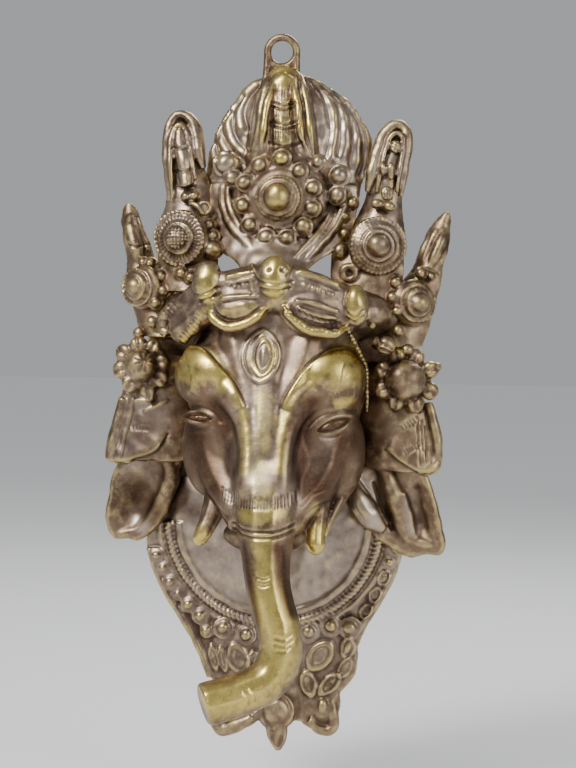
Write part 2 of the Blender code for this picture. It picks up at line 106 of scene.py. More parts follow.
def roll(knots, steps=6):
    """A roll of wax through knots of x, z, depth and radius."""
    curve = bpy.data.curves.new("roll", "CURVE")
    curve.dimensions = "3D"
    curve.bevel_depth = MM
    curve.bevel_resolution = 3
    curve.resolution_u = steps
    curve.use_fill_caps = True
    spline = curve.splines.new("BEZIER")
    spline.bezier_points.add(len(knots) - 1)
    for knot, (x, z, depth, radius) in zip(spline.bezier_points, knots):
        knot.co = place(x, z, depth)
        knot.radius = radius
        knot.handle_left_type = knot.handle_right_type = "AUTO"
    strand = bpy.data.objects.new("roll", curve)
    bpy.context.collection.objects.link(strand)
    select_only(strand)
    bpy.ops.object.convert(target="MESH")
    return bpy.context.object


def relief(knots, wide=1.5, sunk=2.0):
    """A wider roll sunk into the skin, so that a low ridge is left. Its ends are thin and run out."""
    end_sunk, end_share = 3, 0.6
    low = [[x, z, depth - sunk, wide * radius] for x, z, depth, radius in knots]
    for end in (low[0], low[-1]):
        end[2] -= end_sunk
        end[3] *= end_share
    return roll(low)

# %% [markdown]
# ## Pressing wax together
# Lumps that touch could be joined by Booleans, but hundreds of them leave slivers and hard seams.
# A voxel remesh wraps one closed skin round everything that overlaps, as warm wax flows together, and
# the Smooth modifier does what a thumb does. The skin's faces are even and about a millimetre wide,
# which the small tools need later.

# %% One skin


def join(name, shapes):
    """One object of all the shapes, with its own place and scale put into its mesh."""
    deselect()
    for shape in shapes:
        shape.select_set(True)
    bpy.context.view_layer.objects.active = shapes[0]
    bpy.ops.object.join()
    bpy.ops.object.transform_apply(location=True, rotation=True, scale=True)
    piece = bpy.context.object
    piece.name = piece.data.name = name
    return piece


def apply_modifier(piece, kind, **settings):
    """Adds a modifier with these settings and applies it."""
    modifier = piece.modifiers.new(kind.lower(), kind)
    for setting, value in settings.items():
        setattr(modifier, setting, value)
    select_only(piece)
    bpy.ops.object.modifier_apply(modifier=modifier.name)


def press(name, shapes, grain, softness):
    """One skin round the shapes, with faces of this grain in mm, smoothed this many times."""
    piece = join(name, shapes)
    apply_modifier(piece, "REMESH", mode="VOXEL", voxel_size=grain * MM)
    if softness:
        apply_modifier(piece, "SMOOTH", factor=0.5, iterations=softness)
    return piece


# %% [markdown]
# ## Small tools
# Fine lines could be a bump map, but then they vanish at the outline and in the exported mesh. So the
# tools move the points of the skin itself. Lines are drawn as the viewer sees them, in x and z, and
# only what faces the viewer is cut. A chisel makes a groove, or a raised thread where its depth is
# negative. A terrace raises a field inside an outline, and a ledge the land on one side of a line.

# %% Curves and points of the skin


def smooth_run(knots, steps=6):
    """More points on a smooth curve through the knots."""
    knots = [np.array(knot, float) for knot in knots]
    last = len(knots) - 1
    run = []
    for i in range(last):
        before, start = knots[max(i - 1, 0)], knots[i]
        end, after = knots[i + 1], knots[min(i + 2, last)]
        for t in np.arange(steps) / steps:
            run.append(
                start
                + 0.5 * t * (end - before)
                + t * t * (before - 2.5 * start + 2 * end - 0.5 * after)
                + 0.5 * t**3 * (3 * (start - end) + after - before)
            )
    return np.array(run + [knots[-1]])


def skin_of(piece):
    """The skin's points in mm, as x, z and depth, and its outward directions the same way."""
    count = len(piece.data.vertices)
    points = np.empty(count * 3)
    piece.data.vertices.foreach_get("co", points)
    outward = np.empty(count * 3)
    piece.data.vertex_normals.foreach_get("vector", outward)
    order = np.array((1, 1, -1))
    points = points.reshape(-1, 3)[:, (0, 2, 1)] * order / MM
    return points, outward.reshape(-1, 3)[:, (0, 2, 1)] * order


def reshape(piece, points):
    """Puts points of x, z and depth in mm back into the skin."""
    metres = (points * np.array((1, 1, -1)) * MM)[:, (0, 2, 1)]
    piece.data.vertices.foreach_set("co", metres.ravel())
    piece.data.update()


def nearest(points, run):
    """How far each point is from a run of straight stretches, on which side, and how far along."""
    best = np.full(len(points), 1e9)
    side = np.zeros(len(points))
    along = np.zeros(len(points))
    for i, (start, end) in enumerate(zip(run, run[1:])):
        stretch = end - start
        out = points - start
        share = np.clip(out @ stretch / max(stretch @ stretch, 1e-9), 0, 1)
        gap = np.linalg.norm(out - share[:, None] * stretch, axis=1)
        closer = gap < best
        best[closer] = gap[closer]
        side[closer] = np.sign(stretch[0] * out[:, 1] - stretch[1] * out[:, 0])[closer]
        along[closer] = (i + share[closer]) / (len(run) - 1)
    return best, side, along


# %% Chisel, terrace and ledge


def chisel(piece, lines, width, depth, deepest=-1e9, steps=6):
    """Cuts grooves along lines seen from the front, or lays threads on them where depth is negative."""
    points, outward = skin_of(piece)
    push = np.zeros(len(points))
    for line in lines:
        run = smooth_run(line, steps)
        low, high = run.min(axis=0) - 3 * width, run.max(axis=0) + 3 * width
        close = ((points[:, :2] > low) & (points[:, :2] < high)).all(axis=1)
        close &= (outward[:, 2] > 0.1) & (points[:, 2] > deepest)
        near = np.flatnonzero(close)
        if len(near):
            profile = np.exp(-((nearest(points[near, :2], run)[0] / width) ** 2))
            push[near] = np.maximum(push[near], profile)
    reshape(piece, points - outward * (push * depth)[:, None])


def inside(points, outline):
    """Which points lie inside a closed outline."""
    within = np.zeros(len(points), bool)
    for (x0, z0), (x1, z1) in zip(outline, np.roll(outline, -1, axis=0)):
        crosses = (z0 > points[:, 1]) != (z1 > points[:, 1])
        reach = (x1 - x0) * (points[:, 1] - z0) / (z1 - z0 if z1 != z0 else 1e-9) + x0
        within ^= crosses & (points[:, 0] < reach)
    return within


def terrace(piece, outline, height, edge, deepest=-1e9):
    """Raises what lies inside an outline by this height, with a slope as wide as the edge."""
    points, outward = skin_of(piece)
    outline = smooth_run(list(outline) + [outline[0]])
    gap = nearest(points[:, :2], outline)[0]
    signed = np.where(inside(points[:, :2], outline), gap, -gap)
    share = np.clip(signed / edge + 0.5, 0, 1)
    share = share * share * (3 - 2 * share) * (outward[:, 2] > 0.05) * (points[:, 2] > deepest)
    points[:, 2] += height * share
    reshape(piece, points)


def ledge(piece, line, height, reach, edge=1.0, deepest=-1e9):
    """Raises the right-hand side of a line, most beside it and fading out after this reach."""
    points, outward = skin_of(piece)
    gap, side, along = nearest(points[:, :2], smooth_run(line))
    step = np.clip(0.5 - side * gap / edge, 0, 1)
    fade = np.exp(-((gap / reach) ** 2)) * np.clip(6 * np.minimum(along, 1 - along), 0, 1)
    facing = (outward[:, 2] > 0.05) & (points[:, 2] > deepest)
    reshape(piece, points + outward * (height * step * fade * facing)[:, None])


def almond(x, z, half_wide, half_tall, tilt=0, count=24):
    """A closed outline that is pointed at both ends, upright unless it is tilted to the right."""
    outline = []
    for i in range(count):
        angle = 2 * pi * i / count
        across = half_wide * abs(cos(angle)) ** 1.3 * (1 if cos(angle) > 0 else -1)
        along = half_tall * sin(angle)
        turned = radians(tilt)
        outline.append(
            (
                x + across * cos(turned) + along * sin(turned),
                z - across * sin(turned) + along * cos(turned),
            )
        )
    return outline


# %% [markdown]
# ## Plates
# Crown, leaves, ears and collar are plates of wax about 5 mm thick, cut out with a knife and bulged
# with a thumb. An outline could be filled with one flat face, but that can't bulge. So a plate is a
# grid, laid out in rows that give its left and right edge and how far it stands off the wall at the
# edges and in the middle. The Solidify modifier gives it its thickness.

# %% Plates and cuts
PLATE_THICK = 5


def plate(rows, lift=None, columns=48):
    """A bulging plate from rows of z, left, right, depth at the edges and in the middle."""
    table = smooth_run(rows, 8)
    bpy.ops.mesh.primitive_grid_add(x_subdivisions=columns, y_subdivisions=len(table) - 1, size=2)
    sheet = bpy.context.object
    for vertex in sheet.data.vertices:
        across, along = vertex.co.x, (1 - vertex.co.y) / 2
        z, left, right, edge, middle = table[round(along * (len(table) - 1))]
        x = left + (right - left) * (across + 1) / 2
        depth = edge + (middle - edge) * (1 - across * across)
        vertex.co = place(x, z, depth + (lift(x, z) if lift else 0))
    apply_modifier(sheet, "SOLIDIFY", thickness=PLATE_THICK * MM, offset=-1)
    return sheet


def cut(piece, cutter):
    """Takes the cutter's space out of the piece."""
    apply_modifier(piece, "BOOLEAN", operation="DIFFERENCE", solver="MANIFOLD", object=cutter)
    bpy.data.objects.remove(cutter, do_unlink=True)


def flat_back(piece):
    """Takes away what reaches behind the wall's plane."""
    width, reach, height = 0.5, 0.1, 0.7
    bpy.ops.mesh.primitive_cube_add(size=1, location=(0, reach / 2, -0.24))
    behind = bpy.context.object
    behind.scale = (width, reach, height)
    cut(piece, behind)

# %% [markdown]
# ## Wear and painted light and shade
# Old brass is dark in its hollows and bright where it stands out or where hands and cloths rub it.
# Here the dark in the hollows is grime and painted shade together, and the paler edges are wear and a
# painted highlight. A shader could guess the hollows from the shape, but it can't know where the cloth
# went. So both are kept as numbers on the skin's points. How far a point stands out is measured
# against the same skin smoothed flat, and what was rubbed is painted along lines, as with a cloth on a
# finger. Strokes along lines also paint highlights and shade.

# %% Wear, polish and painted shade


def neighbours_mean(points, edges, count):
    """Each point's value averaged over its neighbours."""
    total = np.zeros_like(points)
    for axis in range(points.shape[1]):
        column = points[:, axis]
        total[:, axis] = np.bincount(edges[:, 0], column[edges[:, 1]], count)
        total[:, axis] += np.bincount(edges[:, 1], column[edges[:, 0]], count)
    near = np.bincount(edges.ravel(), minlength=count)
    return total / np.maximum(near, 1)[:, None]


def keep(piece, name, values):
    """Keeps a number on every point of the skin for the material to read."""
    attribute = piece.data.attributes.new(name, "FLOAT", "POINT")
    attribute.data.foreach_set("value", np.clip(values, -1, 1).astype(np.float32))


# How many mm a point has to stand out to count as fully worn, and sink in to be fully in painted
# shade, finely and broadly.
FINE_FULL = 0.5
BROAD_FULL = 2.0


def measure_wear_and_shade(piece):
    """Writes how far each point stands out, finely and broadly: hollows are below zero, for painted
    shade.
    """
    points, outward = skin_of(piece)
    count = len(points)
    edges = np.empty(len(piece.data.edges) * 2, np.int32)
    piece.data.edges.foreach_get("vertices", edges)
    edges = edges.reshape(-1, 2)
    flat = points
    for _ in range(10):
        flat = 0.5 * flat + 0.5 * neighbours_mean(flat, edges, count)
    keep(piece, "fine_wear_and_shade", ((points - flat) * outward).sum(axis=1) / FINE_FULL)
    for _ in range(70):
        flat = 0.4 * flat + 0.6 * neighbours_mean(flat, edges, count)
    keep(piece, "broad_grime_and_shade", ((points - flat) * outward).sum(axis=1) / BROAD_FULL)


def paint_strokes(piece, name, strokes, start=0.0):
    """Paints strokes seen from the front: a line, its half width, its strength and the least depth."""
    points, outward = skin_of(piece)
    paint = np.full(len(points), float(start))
    for line, width, strength, *deepest in strokes:
        run = smooth_run(line)
        low, high = run.min(axis=0) - 2.5 * width, run.max(axis=0) + 2.5 * width
        close = ((points[:, :2] > low) & (points[:, :2] < high)).all(axis=1)
        close &= (outward[:, 2] > 0) & (points[:, 2] > (deepest[0] if deepest else 0))
        near = np.flatnonzero(close)
        if len(near):
            touch = strength * np.exp(-((nearest(points[near, :2], run)[0] / width) ** 2))
            paint[near] = np.maximum(paint[near], touch)
    keep(piece, name, paint)


def knead(piece, size, height):
    """The uneven surface that fingers leave in wax: soft waves of this size and height in mm."""
    points, outward = skin_of(piece)
    waves = [noise.noise(Vector(point) / size) for point in points.tolist()]
    reshape(piece, points + outward * (height * np.array(waves))[:, None])

# %% [markdown]
# ## The head
# The head is a hollow mask with walls of 5.5 mm. It is the smoothest part of the plaque, so its big
# masses come first and alone: skull, cheeks, the slopes from the cheeks to the trunk, the brows, the
# flat bridge between them and the trunk. They are pressed together and smoothed a lot, so that no
# lump shows. The left and right sides share their rolls, mirrored about the middle of the face.

# %% Head: the big masses
SKULL = [
    (4, -228, 32, 63, 66, 42),
    (5, -190, 30, 56, 36, 40),
    (4.5, -252, 42, 52, 56, 34),
    (-37, -274, 42, 21.5, 36, 24),
    (46.5, -275, 42, 21.5, 36, 24),
    (5, -284, 54, 36, 46, 31),
    (-22, -268, 50, 25, 40, 23),
    (33, -268, 50, 25, 40, 23),
    (-28, -256, 51, 24, 24, 20),
    (39, -256, 51, 24, 24, 20),
]
TRUNK = (
    (5, -256, 50, 20),
    (5, -282, 62, 27),
    (6, -305, 74, 24.5),
    (7, -324, 82, 21),
    (8, -343, 88, 17),
    (10, -361, 92, 15.4),
    (14, -377, 94, 15.2),
    (18.5, -392, 95, 15.2),
    (19.5, -408, 96, 15),
    (13, -423, 99, 14.6),
    (-3, -432, 106, 14.8),
    (-28, -439.5, 116, 15),
)
FACE_MIDDLE = 5.5
masses = [egg(*lump, rings=24) for lump in SKULL]
masses.append(egg(4, -232, 0, 60, 80, 34, rings=24))
for side, out, half in ((-1, 41.5, 28), (1, 37.5, 26)):
    masses.append(egg(FACE_MIDDLE + side * out, -226, 51, half, 24, 24, turn=16 * side))
    brow_to_bridge = (
        (32, -232, 60, 15),
        (20, -243, 69, 12),
        (13, -258, 75, 9.5),
        (10.5, -276, 80.5, 8.5),
        (10, -298, 86, 8.8),
        (9.5, -312, 88, 7),
    )
    slope = ((38, -268, 50, 19), (34, -288, 57, 17), (24, -306, 67, 14), (13, -322, 77, 13))
    forehead = ((27, -172, 38, 12), (25, -195, 54, 14), (18, -224, 62, 14), (8, -246, 67, 14))
    for knots in (brow_to_bridge, slope, forehead):
        masses.append(roll([(FACE_MIDDLE + side * out, *rest) for out, *rest in knots]))
BRIDGE = ((4, -180, 44, 18), (4, -205, 56, 18), (4.5, -232, 61, 18), (5, -256, 67, 18), (5, -280, 72, 18))
masses += [roll(BRIDGE), roll(TRUNK, steps=10), egg(-1, -335, 34, 30, 13, 20)]
head = press("head", masses, 1.4, 12)
print("masses:", len(head.data.polygons), "faces")

# %% [markdown]
# Tusks, eyeballs and the fold at the mouth come second and are smoothed only a little, so they keep
# their shape. A tusk is one roll that tapers to a blunt tip.

# %% Head: tusks, eyeballs and the fold at the mouth
LEFT_TUSK = (
    (-28.1, -304.4, 56, 12),
    (-31.8, -314.3, 61, 9),
    (-35.1, -323.5, 65, 6.8),
    (-38.7, -331.6, 67, 6.2),
    (-41, -336.5, 67, 5.2),
    (-42, -339.9, 67, 2.4),
)
RIGHT_TUSK = (
    (40.3, -298.3, 55, 11),
    (38.6, -308.7, 61, 9),
    (38.8, -320.3, 66, 6.8),
    (38.7, -330.2, 69, 6.4),
    (38.6, -336.8, 70, 6.9),
    (38.7, -340.8, 70, 5.2),
    (38.7, -343.5, 70, 2),
)
MOUTH_FOLD = (
    (55.5, -300, 44, 5),
    (51.1, -310.4, 52, 4),
    (45.9, -322.2, 58, 3.4),
    (42.5, -331.4, 62, 2.4),
)
LEFT_EYE = (-45.3, -254.1, 61)
RIGHT_EYE = (49.7, -255.7, 61)
details = [head, roll(LEFT_TUSK), roll(RIGHT_TUSK), roll(MOUTH_FOLD)]
details.append(egg(*LEFT_EYE, 12, 5.6, 6.2, turn=-26))
details.append(egg(*RIGHT_EYE, 12, 5.2, 6.6, turn=30))
head = press("head", details, 1.0, 2)
print("head:", len(head.data.polygons), "faces")

# %% [markdown]
# Each brow has a crisp upper edge that stands proud of the forehead and fades into the bridge. The
# eyes, the upright eye on the forehead and the folds are cut into the finished skin, as an engraver
# does, because lumps as thin as an eyelid would melt away when the wax is pressed together.

# %% Head: brows
LEFT_BROW = (
    (-58.7, -210.3),
    (-53.5, -206.7),
    (-43.2, -206.7),
    (-35.5, -210.9),
    (-27.4, -218.7),
    (-18.7, -227.1),
    (-12.8, -236.3),
    (-8.8, -244.1),
)
RIGHT_BROW = (
    (14.2, -244.8),
    (17.7, -236.8),
    (24.6, -224.8),
    (31.5, -216),
    (38.4, -209.9),
    (46.7, -205.8),
    (56.3, -204.6),
    (64.2, -207.6),
)
for brow in (LEFT_BROW, RIGHT_BROW):
    ledge(head, brow, 2.4, 16, deepest=20)
    chisel(head, (brow,), 1.1, 0.7, deepest=20)
print("brows:", len(LEFT_BROW), "and", len(RIGHT_BROW), "knots")

# %% [markdown]
# An eye is a long almond between two lids that stand out a little, with folds above and below. The
# eyeball is already there as an egg, so only the lines round it are cut. The lids are raised beside
# the cut by a second, negative stroke, as wax is pushed up beside a tool.

# %% Head: the two eyes
LIDS = (
    ((-53.8, -253), (-47.9, -250.9), (-41.2, -250.9), (-34.6, -254)),
    ((-53.8, -253), (-47.8, -255.6), (-41.1, -256.3), (-34.6, -254)),
    ((38.9, -259.5), (45.3, -254.4), (52.9, -251.7), (59.5, -251.5)),
    ((38.9, -259.5), (46.7, -260.1), (54.4, -257), (59.5, -251.5)),
)
CREASES = (
    ((-57, -249.8), (-49.7, -246.6), (-40.7, -246.6), (-32.4, -249.9), (-27.2, -255.7)),
    ((32.5, -257.5), (38.2, -251.4), (45.8, -247.7), (53.9, -246), (61.9, -246.8)),
    ((-48.5, -260.6), (-40.5, -260.8), (-33, -258)),
    ((41.5, -264.2), (50, -264), (57.4, -260.1)),
)
chisel(head, LIDS, 0.8, 1.5, deepest=20)
chisel(head, CREASES, 0.9, 0.55, deepest=20)
for lid, rise in zip(LIDS, (1.8, -1.7, 1.8, -1.7)):
    chisel(head, ([(x, z + rise) for x, z in lid],), 0.9, -0.45, deepest=20)
for x, z, depth in (LEFT_EYE, RIGHT_EYE):
    pupil = [(x + 1.9 * cos(i * pi / 5), z + 0.4 + 1.9 * sin(i * pi / 5)) for i in range(11)]
    chisel(head, (pupil,), 0.7, 0.3, deepest=40)
print("eyes:", len(LIDS), "lids and", len(CREASES), "folds")

# %% [markdown]
# The upright eye on the forehead is a low oval with smaller ovals in it. It could be a piece laid on
# top, but its edge would float where the forehead curves. A terrace follows the curve by itself.

# %% Head: the upright eye
THIRD_EYE = (-0.1, -210.9)
terrace(head, almond(*THIRD_EYE, 13.6, 18.4, tilt=2), 1.3, 1.2, deepest=40)
for over, wide, tall, cut_depth in ((0.5, 10.8, 15.4, 0.7), (1.6, 6.4, 12.3, 1.0), (2, 3.6, 8, 0.6)):
    outline = almond(THIRD_EYE[0] + over, THIRD_EYE[1] + 0.5, wide, tall, tilt=2)
    chisel(head, (outline + outline[:1],), 0.8, cut_depth, deepest=40)
slit_x, slit_z = THIRD_EYE[0] + 2, THIRD_EYE[1]
chisel(head, (((slit_x, slit_z + 3), (slit_x, slit_z - 3)),), 1.0, -0.8, deepest=40)

# %% [markdown]
# Two rings run round the trunk's root under a fringe of short strokes, and wrinkles lie where the
# trunk bends. The strokes are made by one loop that follows a shallow arc, every second one shorter,
# and the wrinkles are written out one by one, because the real ones keep no rhythm.

# %% Head: rings, fringe and wrinkles of the trunk
ROOT_GROOVES = (
    ((-15.1, -322.5), (-5.5, -325.7), (6.2, -326.4), (17.9, -325.2), (26.5, -321.5)),
    ((-13.7, -326.5), (-4.7, -329.3), (6.3, -330.1), (17.3, -328.9), (25.9, -325.5)),
)
chisel(head, ROOT_GROOVES, 1.0, 1.5, deepest=60)
fringe = []
for i in range(25):
    share = i / 12 - 1
    x, z = 1.5 + 25.5 * share, -308.5 + 5 * share * share
    fringe.append(((x, z + 4 - 1.4 * (i % 2)), (x + 0.5 * share, z - 3.2)))
chisel(head, fringe, 0.65, 0.7, deepest=60, steps=1)
WRINKLES = (
    ((5.5, -355.8), (9, -356.9), (12.8, -355.6)),
    ((5.6, -360.4), (9.1, -361.5), (12.9, -360.2)),
    ((18.5, -394.6), (23.3, -395.6), (27.7, -392.9)),
    ((18.6, -398.5), (24, -399.8), (29.1, -396.1)),
    ((20.6, -403.1), (24.8, -403.1), (27.9, -400.1)),
    ((-0.1, -429.6), (2.8, -433.3), (2.7, -437.4)),
    ((3.8, -427.5), (6.7, -431.1), (6.6, -435.3)),
    ((30.5, -309.3), (36.4, -302.9), (44.8, -299.2)),
    ((31.6, -317.1), (38.1, -310.8), (47.9, -307.1)),
    ((-39.5, -301.8), (-31, -311.1), (-20.3, -318)),
)
chisel(head, WRINKLES, 0.8, 0.6)
print("head with its lines:", len(head.data.vertices), "points")

# %% [markdown]
# ## The crown
# A hood stands at the back, with leafy lobes to the left and curved flutes to the right. Before it
# hangs a long leaf with two pairs of ridges round a jointed tongue, and under that sits a boss in a
# wreath of beads, each in its own cup. Each could be a piece of its own, but the real one is one cast
# skin with soft corners, so all of it is laid on the hood's plate and pressed together.

# %% Crown: hood, leaf and tongue
hood = plate(
    (
        (-14, -4, 11, 4, 6),
        (-18, -15, 24, 4, 9),
        (-26, -25, 37, 4, 13),
        (-36, -33, 50, 4, 17),
        (-52, -43, 60, 4, 20),
        (-64, -47, 64, 4, 22),
        (-84, -52, 60, 6, 25),
        (-104, -52, 56, 8, 27),
        (-118, -46, 50, 14, 28),
    ),
    columns=70,
)
shapes = [hood, egg(2, -22.2, 6, 13.5, 13.5, 9), egg(2.3, -28.4, 12, 11, 14, 8)]
LEAF_RIDGES = (
    (
        (-6.4, -16, 12, 1.8),
        (-9.3, -27.8, 19, 2.3),
        (-11.3, -40.6, 23, 2.2),
        (-12.4, -57.5, 27, 2.1),
        (-16.9, -72.7, 28, 1.9),
    ),
    (
        (-1.9, -17.6, 14, 1.8),
        (-4.6, -29.5, 22, 2.4),
        (-7.3, -40.9, 26, 2.3),
        (-8.7, -56.3, 29, 2.2),
        (-10.3, -70.1, 30, 2.0),
    ),
    (
        (10, -16.8, 14, 1.8),
        (12.1, -29.4, 22, 2.4),
        (14.9, -40.7, 26, 2.3),
        (17, -56.1, 29, 2.2),
        (23.1, -73.9, 30, 2.0),
    ),
    (
        (13.9, -15.9, 12, 1.8),
        (17.9, -27.7, 19, 2.3),
        (21.1, -40.4, 23, 2.2),
        (23.7, -55.8, 27, 2.1),
        (27, -76.4, 28, 1.9),
    ),
)
shapes += [relief(ridge, 1.1, 0.8) for ridge in LEAF_RIDGES]
LEAF_SIDES = (
    (
        (-5.8, -19.5, 6, 6),
        (-8.9, -34, 12, 9),
        (-10.1, -53.7, 15, 11),
        (-10.9, -70.5, 17, 11),
        (-15.1, -81.5, 16, 9),
    ),
    (
        (9, -19.4, 6, 6),
        (14.3, -33.9, 12, 9),
        (17.2, -53.5, 15, 11),
        (19.2, -70.2, 17, 11),
        (24.2, -81.1, 16, 9),
    ),
)
shapes += [roll(side) for side in LEAF_SIDES]
TONGUE = (
    (1.8, -19.9, 10, 7),
    (2.8, -31.5, 15, 8.4),
    (4.4, -48.4, 19, 9),
    (5.8, -63.8, 22, 10),
    (6, -76.2, 22, 10),
)
shapes.append(roll(TONGUE))
print("hood, leaf and tongue:", len(shapes), "shapes of wax")

# %% [markdown]
# The boss is a dome in rings with a circle of small beads, which a loop can place. The beads of the
# wreath differ in size and don't lie on a true circle, so they are a table. Each is an egg with a
# ring round it and a flat egg under it, its cup.

# %% Crown: boss and wreath
BOSS = (4, -102.9)
BOSS_BEADS = 34
BEAD_CIRCLE = 14.4
shapes.append(egg(*BOSS, 24, 33, 33, 12, rings=20))
shapes.append(egg(*BOSS, 34, 15.5, 15.5, 7))
shapes.append(hoop(*BOSS, 41, 11.6, 1.8))
shapes.append(egg(*BOSS, 41, 9.8, 9.8, 8))
shapes.append(hoop(*BOSS, 33, 20.5, 1.2))
for i in range(BOSS_BEADS):
    angle = 2 * pi * i / BOSS_BEADS
    bead_x, bead_z = BOSS[0] + BEAD_CIRCLE * cos(angle), BOSS[1] + BEAD_CIRCLE * sin(angle)
    shapes.append(egg(bead_x, bead_z, 39.5, 1.4, 1.4, 1.8, rings=6))
WREATH = (
    (5.2, -76, 33, 4.9),
    (-9.7, -80.9, 33, 4.7),
    (17.8, -84.4, 33, 4.5),
    (-19.9, -92.7, 33, 4.7),
    (27.3, -95.9, 33, 4.4),
    (-21, -108.1, 33, 4.4),
    (26.9, -109.9, 33, 4.6),
    (-16, -121.5, 34, 4.6),
    (21.2, -122.7, 35, 4.8),
    (-3.8, -129.9, 36, 4.7),
    (10.6, -130.5, 37, 4.8),
    (-35.6, -80.2, 24, 6.2),
    (-29.8, -89.2, 26, 4.6),
    (44.7, -86.8, 27, 5.6),
    (43.3, -100.2, 27, 4.8),
    (29.8, -77.8, 28, 3.8),
)
for x, z, depth, size in WREATH:
    shapes.append(egg(x, z, depth + 0.2, 1.06 * size, 1.06 * size, 0.85 * size))
    shapes.append(hoop(x, z, depth - 0.5, 1.28 * size, 1.1))
    shapes.append(egg(x, z, depth - 3, 1.35 * size, 1.35 * size, 3.4))
print("boss and wreath added:", len(shapes), "shapes of wax")

# %% [markdown]
# The shield under the boss runs down to the headband and comes forward as it goes. It is one more
# plate, with two ridges along each side.

# %% Crown: shield
shapes.append(
    plate(
        (
            (-92, -48, 56, 12, 25),
            (-112, -48, 56, 16, 28),
            (-126, -47, 53, 20, 33),
            (-136, -42, 45, 26, 40),
            (-142, -34, 38, 32, 45),
            (-148, -24, 30, 40, 50),
            (-154, -20, 27, 46, 56),
            (-168, -20, 30, 52, 62),
        ),
        columns=80,
    )
)
SHIELD_RIDGES = (
    (
        (-38.8, -94.5, 20, 1.8),
        (-35.7, -109.9, 24, 2.1),
        (-29.2, -122.4, 28, 2.1),
        (-17.9, -134.9, 36, 2.1),
        (-9.8, -147.4, 46, 2),
    ),
    (
        (-34.3, -93.2, 22, 1.8),
        (-31.2, -108.6, 26, 2.1),
        (-23.3, -123.8, 30, 2.1),
        (-14.1, -137.7, 38, 2),
        (-7.1, -147.4, 46, 1.8),
    ),
    (
        (50.5, -96.1, 18, 1.8),
        (47, -108.8, 22, 2.2),
        (41.1, -122.8, 28, 2.2),
        (32, -135.6, 36, 2.1),
        (23.2, -146.9, 46, 2),
    ),
    (
        (42.8, -106.8, 22, 1.8),
        (37.9, -115.9, 26, 2.1),
        (33.2, -125.1, 31, 2.1),
        (26, -134.4, 38, 2),
        (17.2, -145, 48, 1.8),
    ),
)
shapes += [relief(ridge, 1.6, 1.6) for ridge in SHIELD_RIDGES]
crown = press("crown", shapes, 0.9, 2)

# %% [markdown]
# The hood's lobes and flutes are long shallow furrows. A furrow alone looks scratched in, so a wide
# raised thread is laid beside each, and the metal between two furrows is rounded.

# %% Crown: lobes and flutes of the hood
LOBES = (
    ((-14.4, -24.5), (-22, -32.2), (-25, -42.8), (-22, -54.2)),
    ((-26.2, -31.1), (-31.3, -39.7), (-33.6, -51), (-27.8, -63.8), (-19.3, -70.9)),
    ((-35.5, -42.1), (-40.1, -50.6), (-39.4, -60.6), (-32.2, -70.6), (-22.6, -77.8)),
    ((-41.3, -54.5), (-45, -65.9), (-41.6, -75.8)),
)
FLUTES = (
    ((21.7, -20), (29.9, -29.9), (34.5, -42.4), (36.5, -56.4), (33.8, -73.2)),
    ((29.2, -22.5), (39.5, -36.5), (42.9, -53.2), (41.6, -71.5)),
    ((37.5, -27.8), (47.6, -41.7), (51.7, -58.4), (51.1, -79.3)),
    ((45.9, -36), (54.5, -48.4), (58.5, -65), (57, -85.9)),
)
chisel(crown, LOBES + FLUTES, 2.2, 1.4, deepest=2)
chisel(crown, [[(x + 4.4, z) for x, z in flute[1:]] for flute in FLUTES], 3.8, -1.1, deepest=2)
chisel(crown, [[(x - 4.6, z + 1.5) for x, z in lobe] for lobe in LOBES], 4.6, -2, deepest=2)
print("hood:", len(LOBES), "lobes and", len(FLUTES), "flutes")

# %% Crown: joints and hatching of the tongue
JOINTS = (
    ((-3.2, -36.7), (4.6, -38.8), (12.8, -36.6)),
    ((-3.2, -39.5), (4.7, -41.6), (12.8, -39.4)),
    ((-3.4, -50), (5.2, -52.4), (14.7, -49.8)),
    ((-3.3, -52.7), (5.2, -54.8), (14.8, -52.6)),
    ((-4.2, -64.5), (5.8, -67.3), (17.3, -65)),
)
chisel(crown, JOINTS, 0.9, 1.3, deepest=10)
hatch = []
for top, bottom in ((-27, -35), (-41, -47), (-54, -62)):
    for i in range(7):
        x = -2.6 + 2 * i
        hatch.append(((x, top), (x + 0.3, bottom)))
chisel(crown, hatch, 0.55, 0.5, deepest=10, steps=1)
print("crown:", len(crown.data.polygons), "faces")

# %% [markdown]
# ## The side leaves
# Two tall leaves and two lower ones stand beside the crown. A tall leaf has a rounded band round a
# jointed finger, and at its foot a domed boss in ticked and beaded rings. The bosses look a little
# outward, and the two sides of the plaque differ, so a mirrored copy would be wrong: each side has its
# own numbers, and what is alike on both, a boss, its beads and its ticks, is a function.

# %% Side leaves: how a boss is made


def beads(x, z, depth, radius, size, count, turn=0):
    """Small beads on a circle that looks outward by so many degrees."""
    made = []
    for i in range(count):
        angle = radians(360 * i / count)
        across = radius * cos(angle)
        out_x, out = across * cos(radians(turn)), across * sin(radians(turn))
        made.append(egg(x + out_x, z + radius * sin(angle), depth - out, size, size, size, rings=6))
    return made


def boss(x, z, depth, turn, size):
    """A domed boss and its rings, looking outward. The place is the middle of its dome."""
    out_x, out = sin(radians(turn)), cos(radians(turn))
    x, depth = x - 8 * out_x, depth - 8 * out
    made = [egg(x, z, depth, 20 * size, 20 * size, 8 * size, turn=turn, rings=20)]
    made.append(egg(x + 6 * out_x, z, depth + 6 * out, 13 * size, 13 * size, 4, turn=turn))
    made.append(egg(x + 8 * out_x, z, depth + 8 * out, 8.4 * size, 8.4 * size, 8 * size, turn=turn))
    made.append(hoop(x + 8 * out_x, z, depth + 8 * out, 10.4 * size, 1.2, turn=turn))
    made.append(hoop(x + 4.5 * out_x, z, depth + 4.5 * out, 15.5 * size, 1.1, turn=turn))
    return made


def ticks(x, z, inner, outer, count):
    """Short strokes that point away from a middle."""
    strokes = []
    for i in range(count):
        angle = radians(360 * i / count)
        strokes.append([(x + reach * cos(angle), z + reach * sin(angle)) for reach in (inner, outer)])
    return strokes


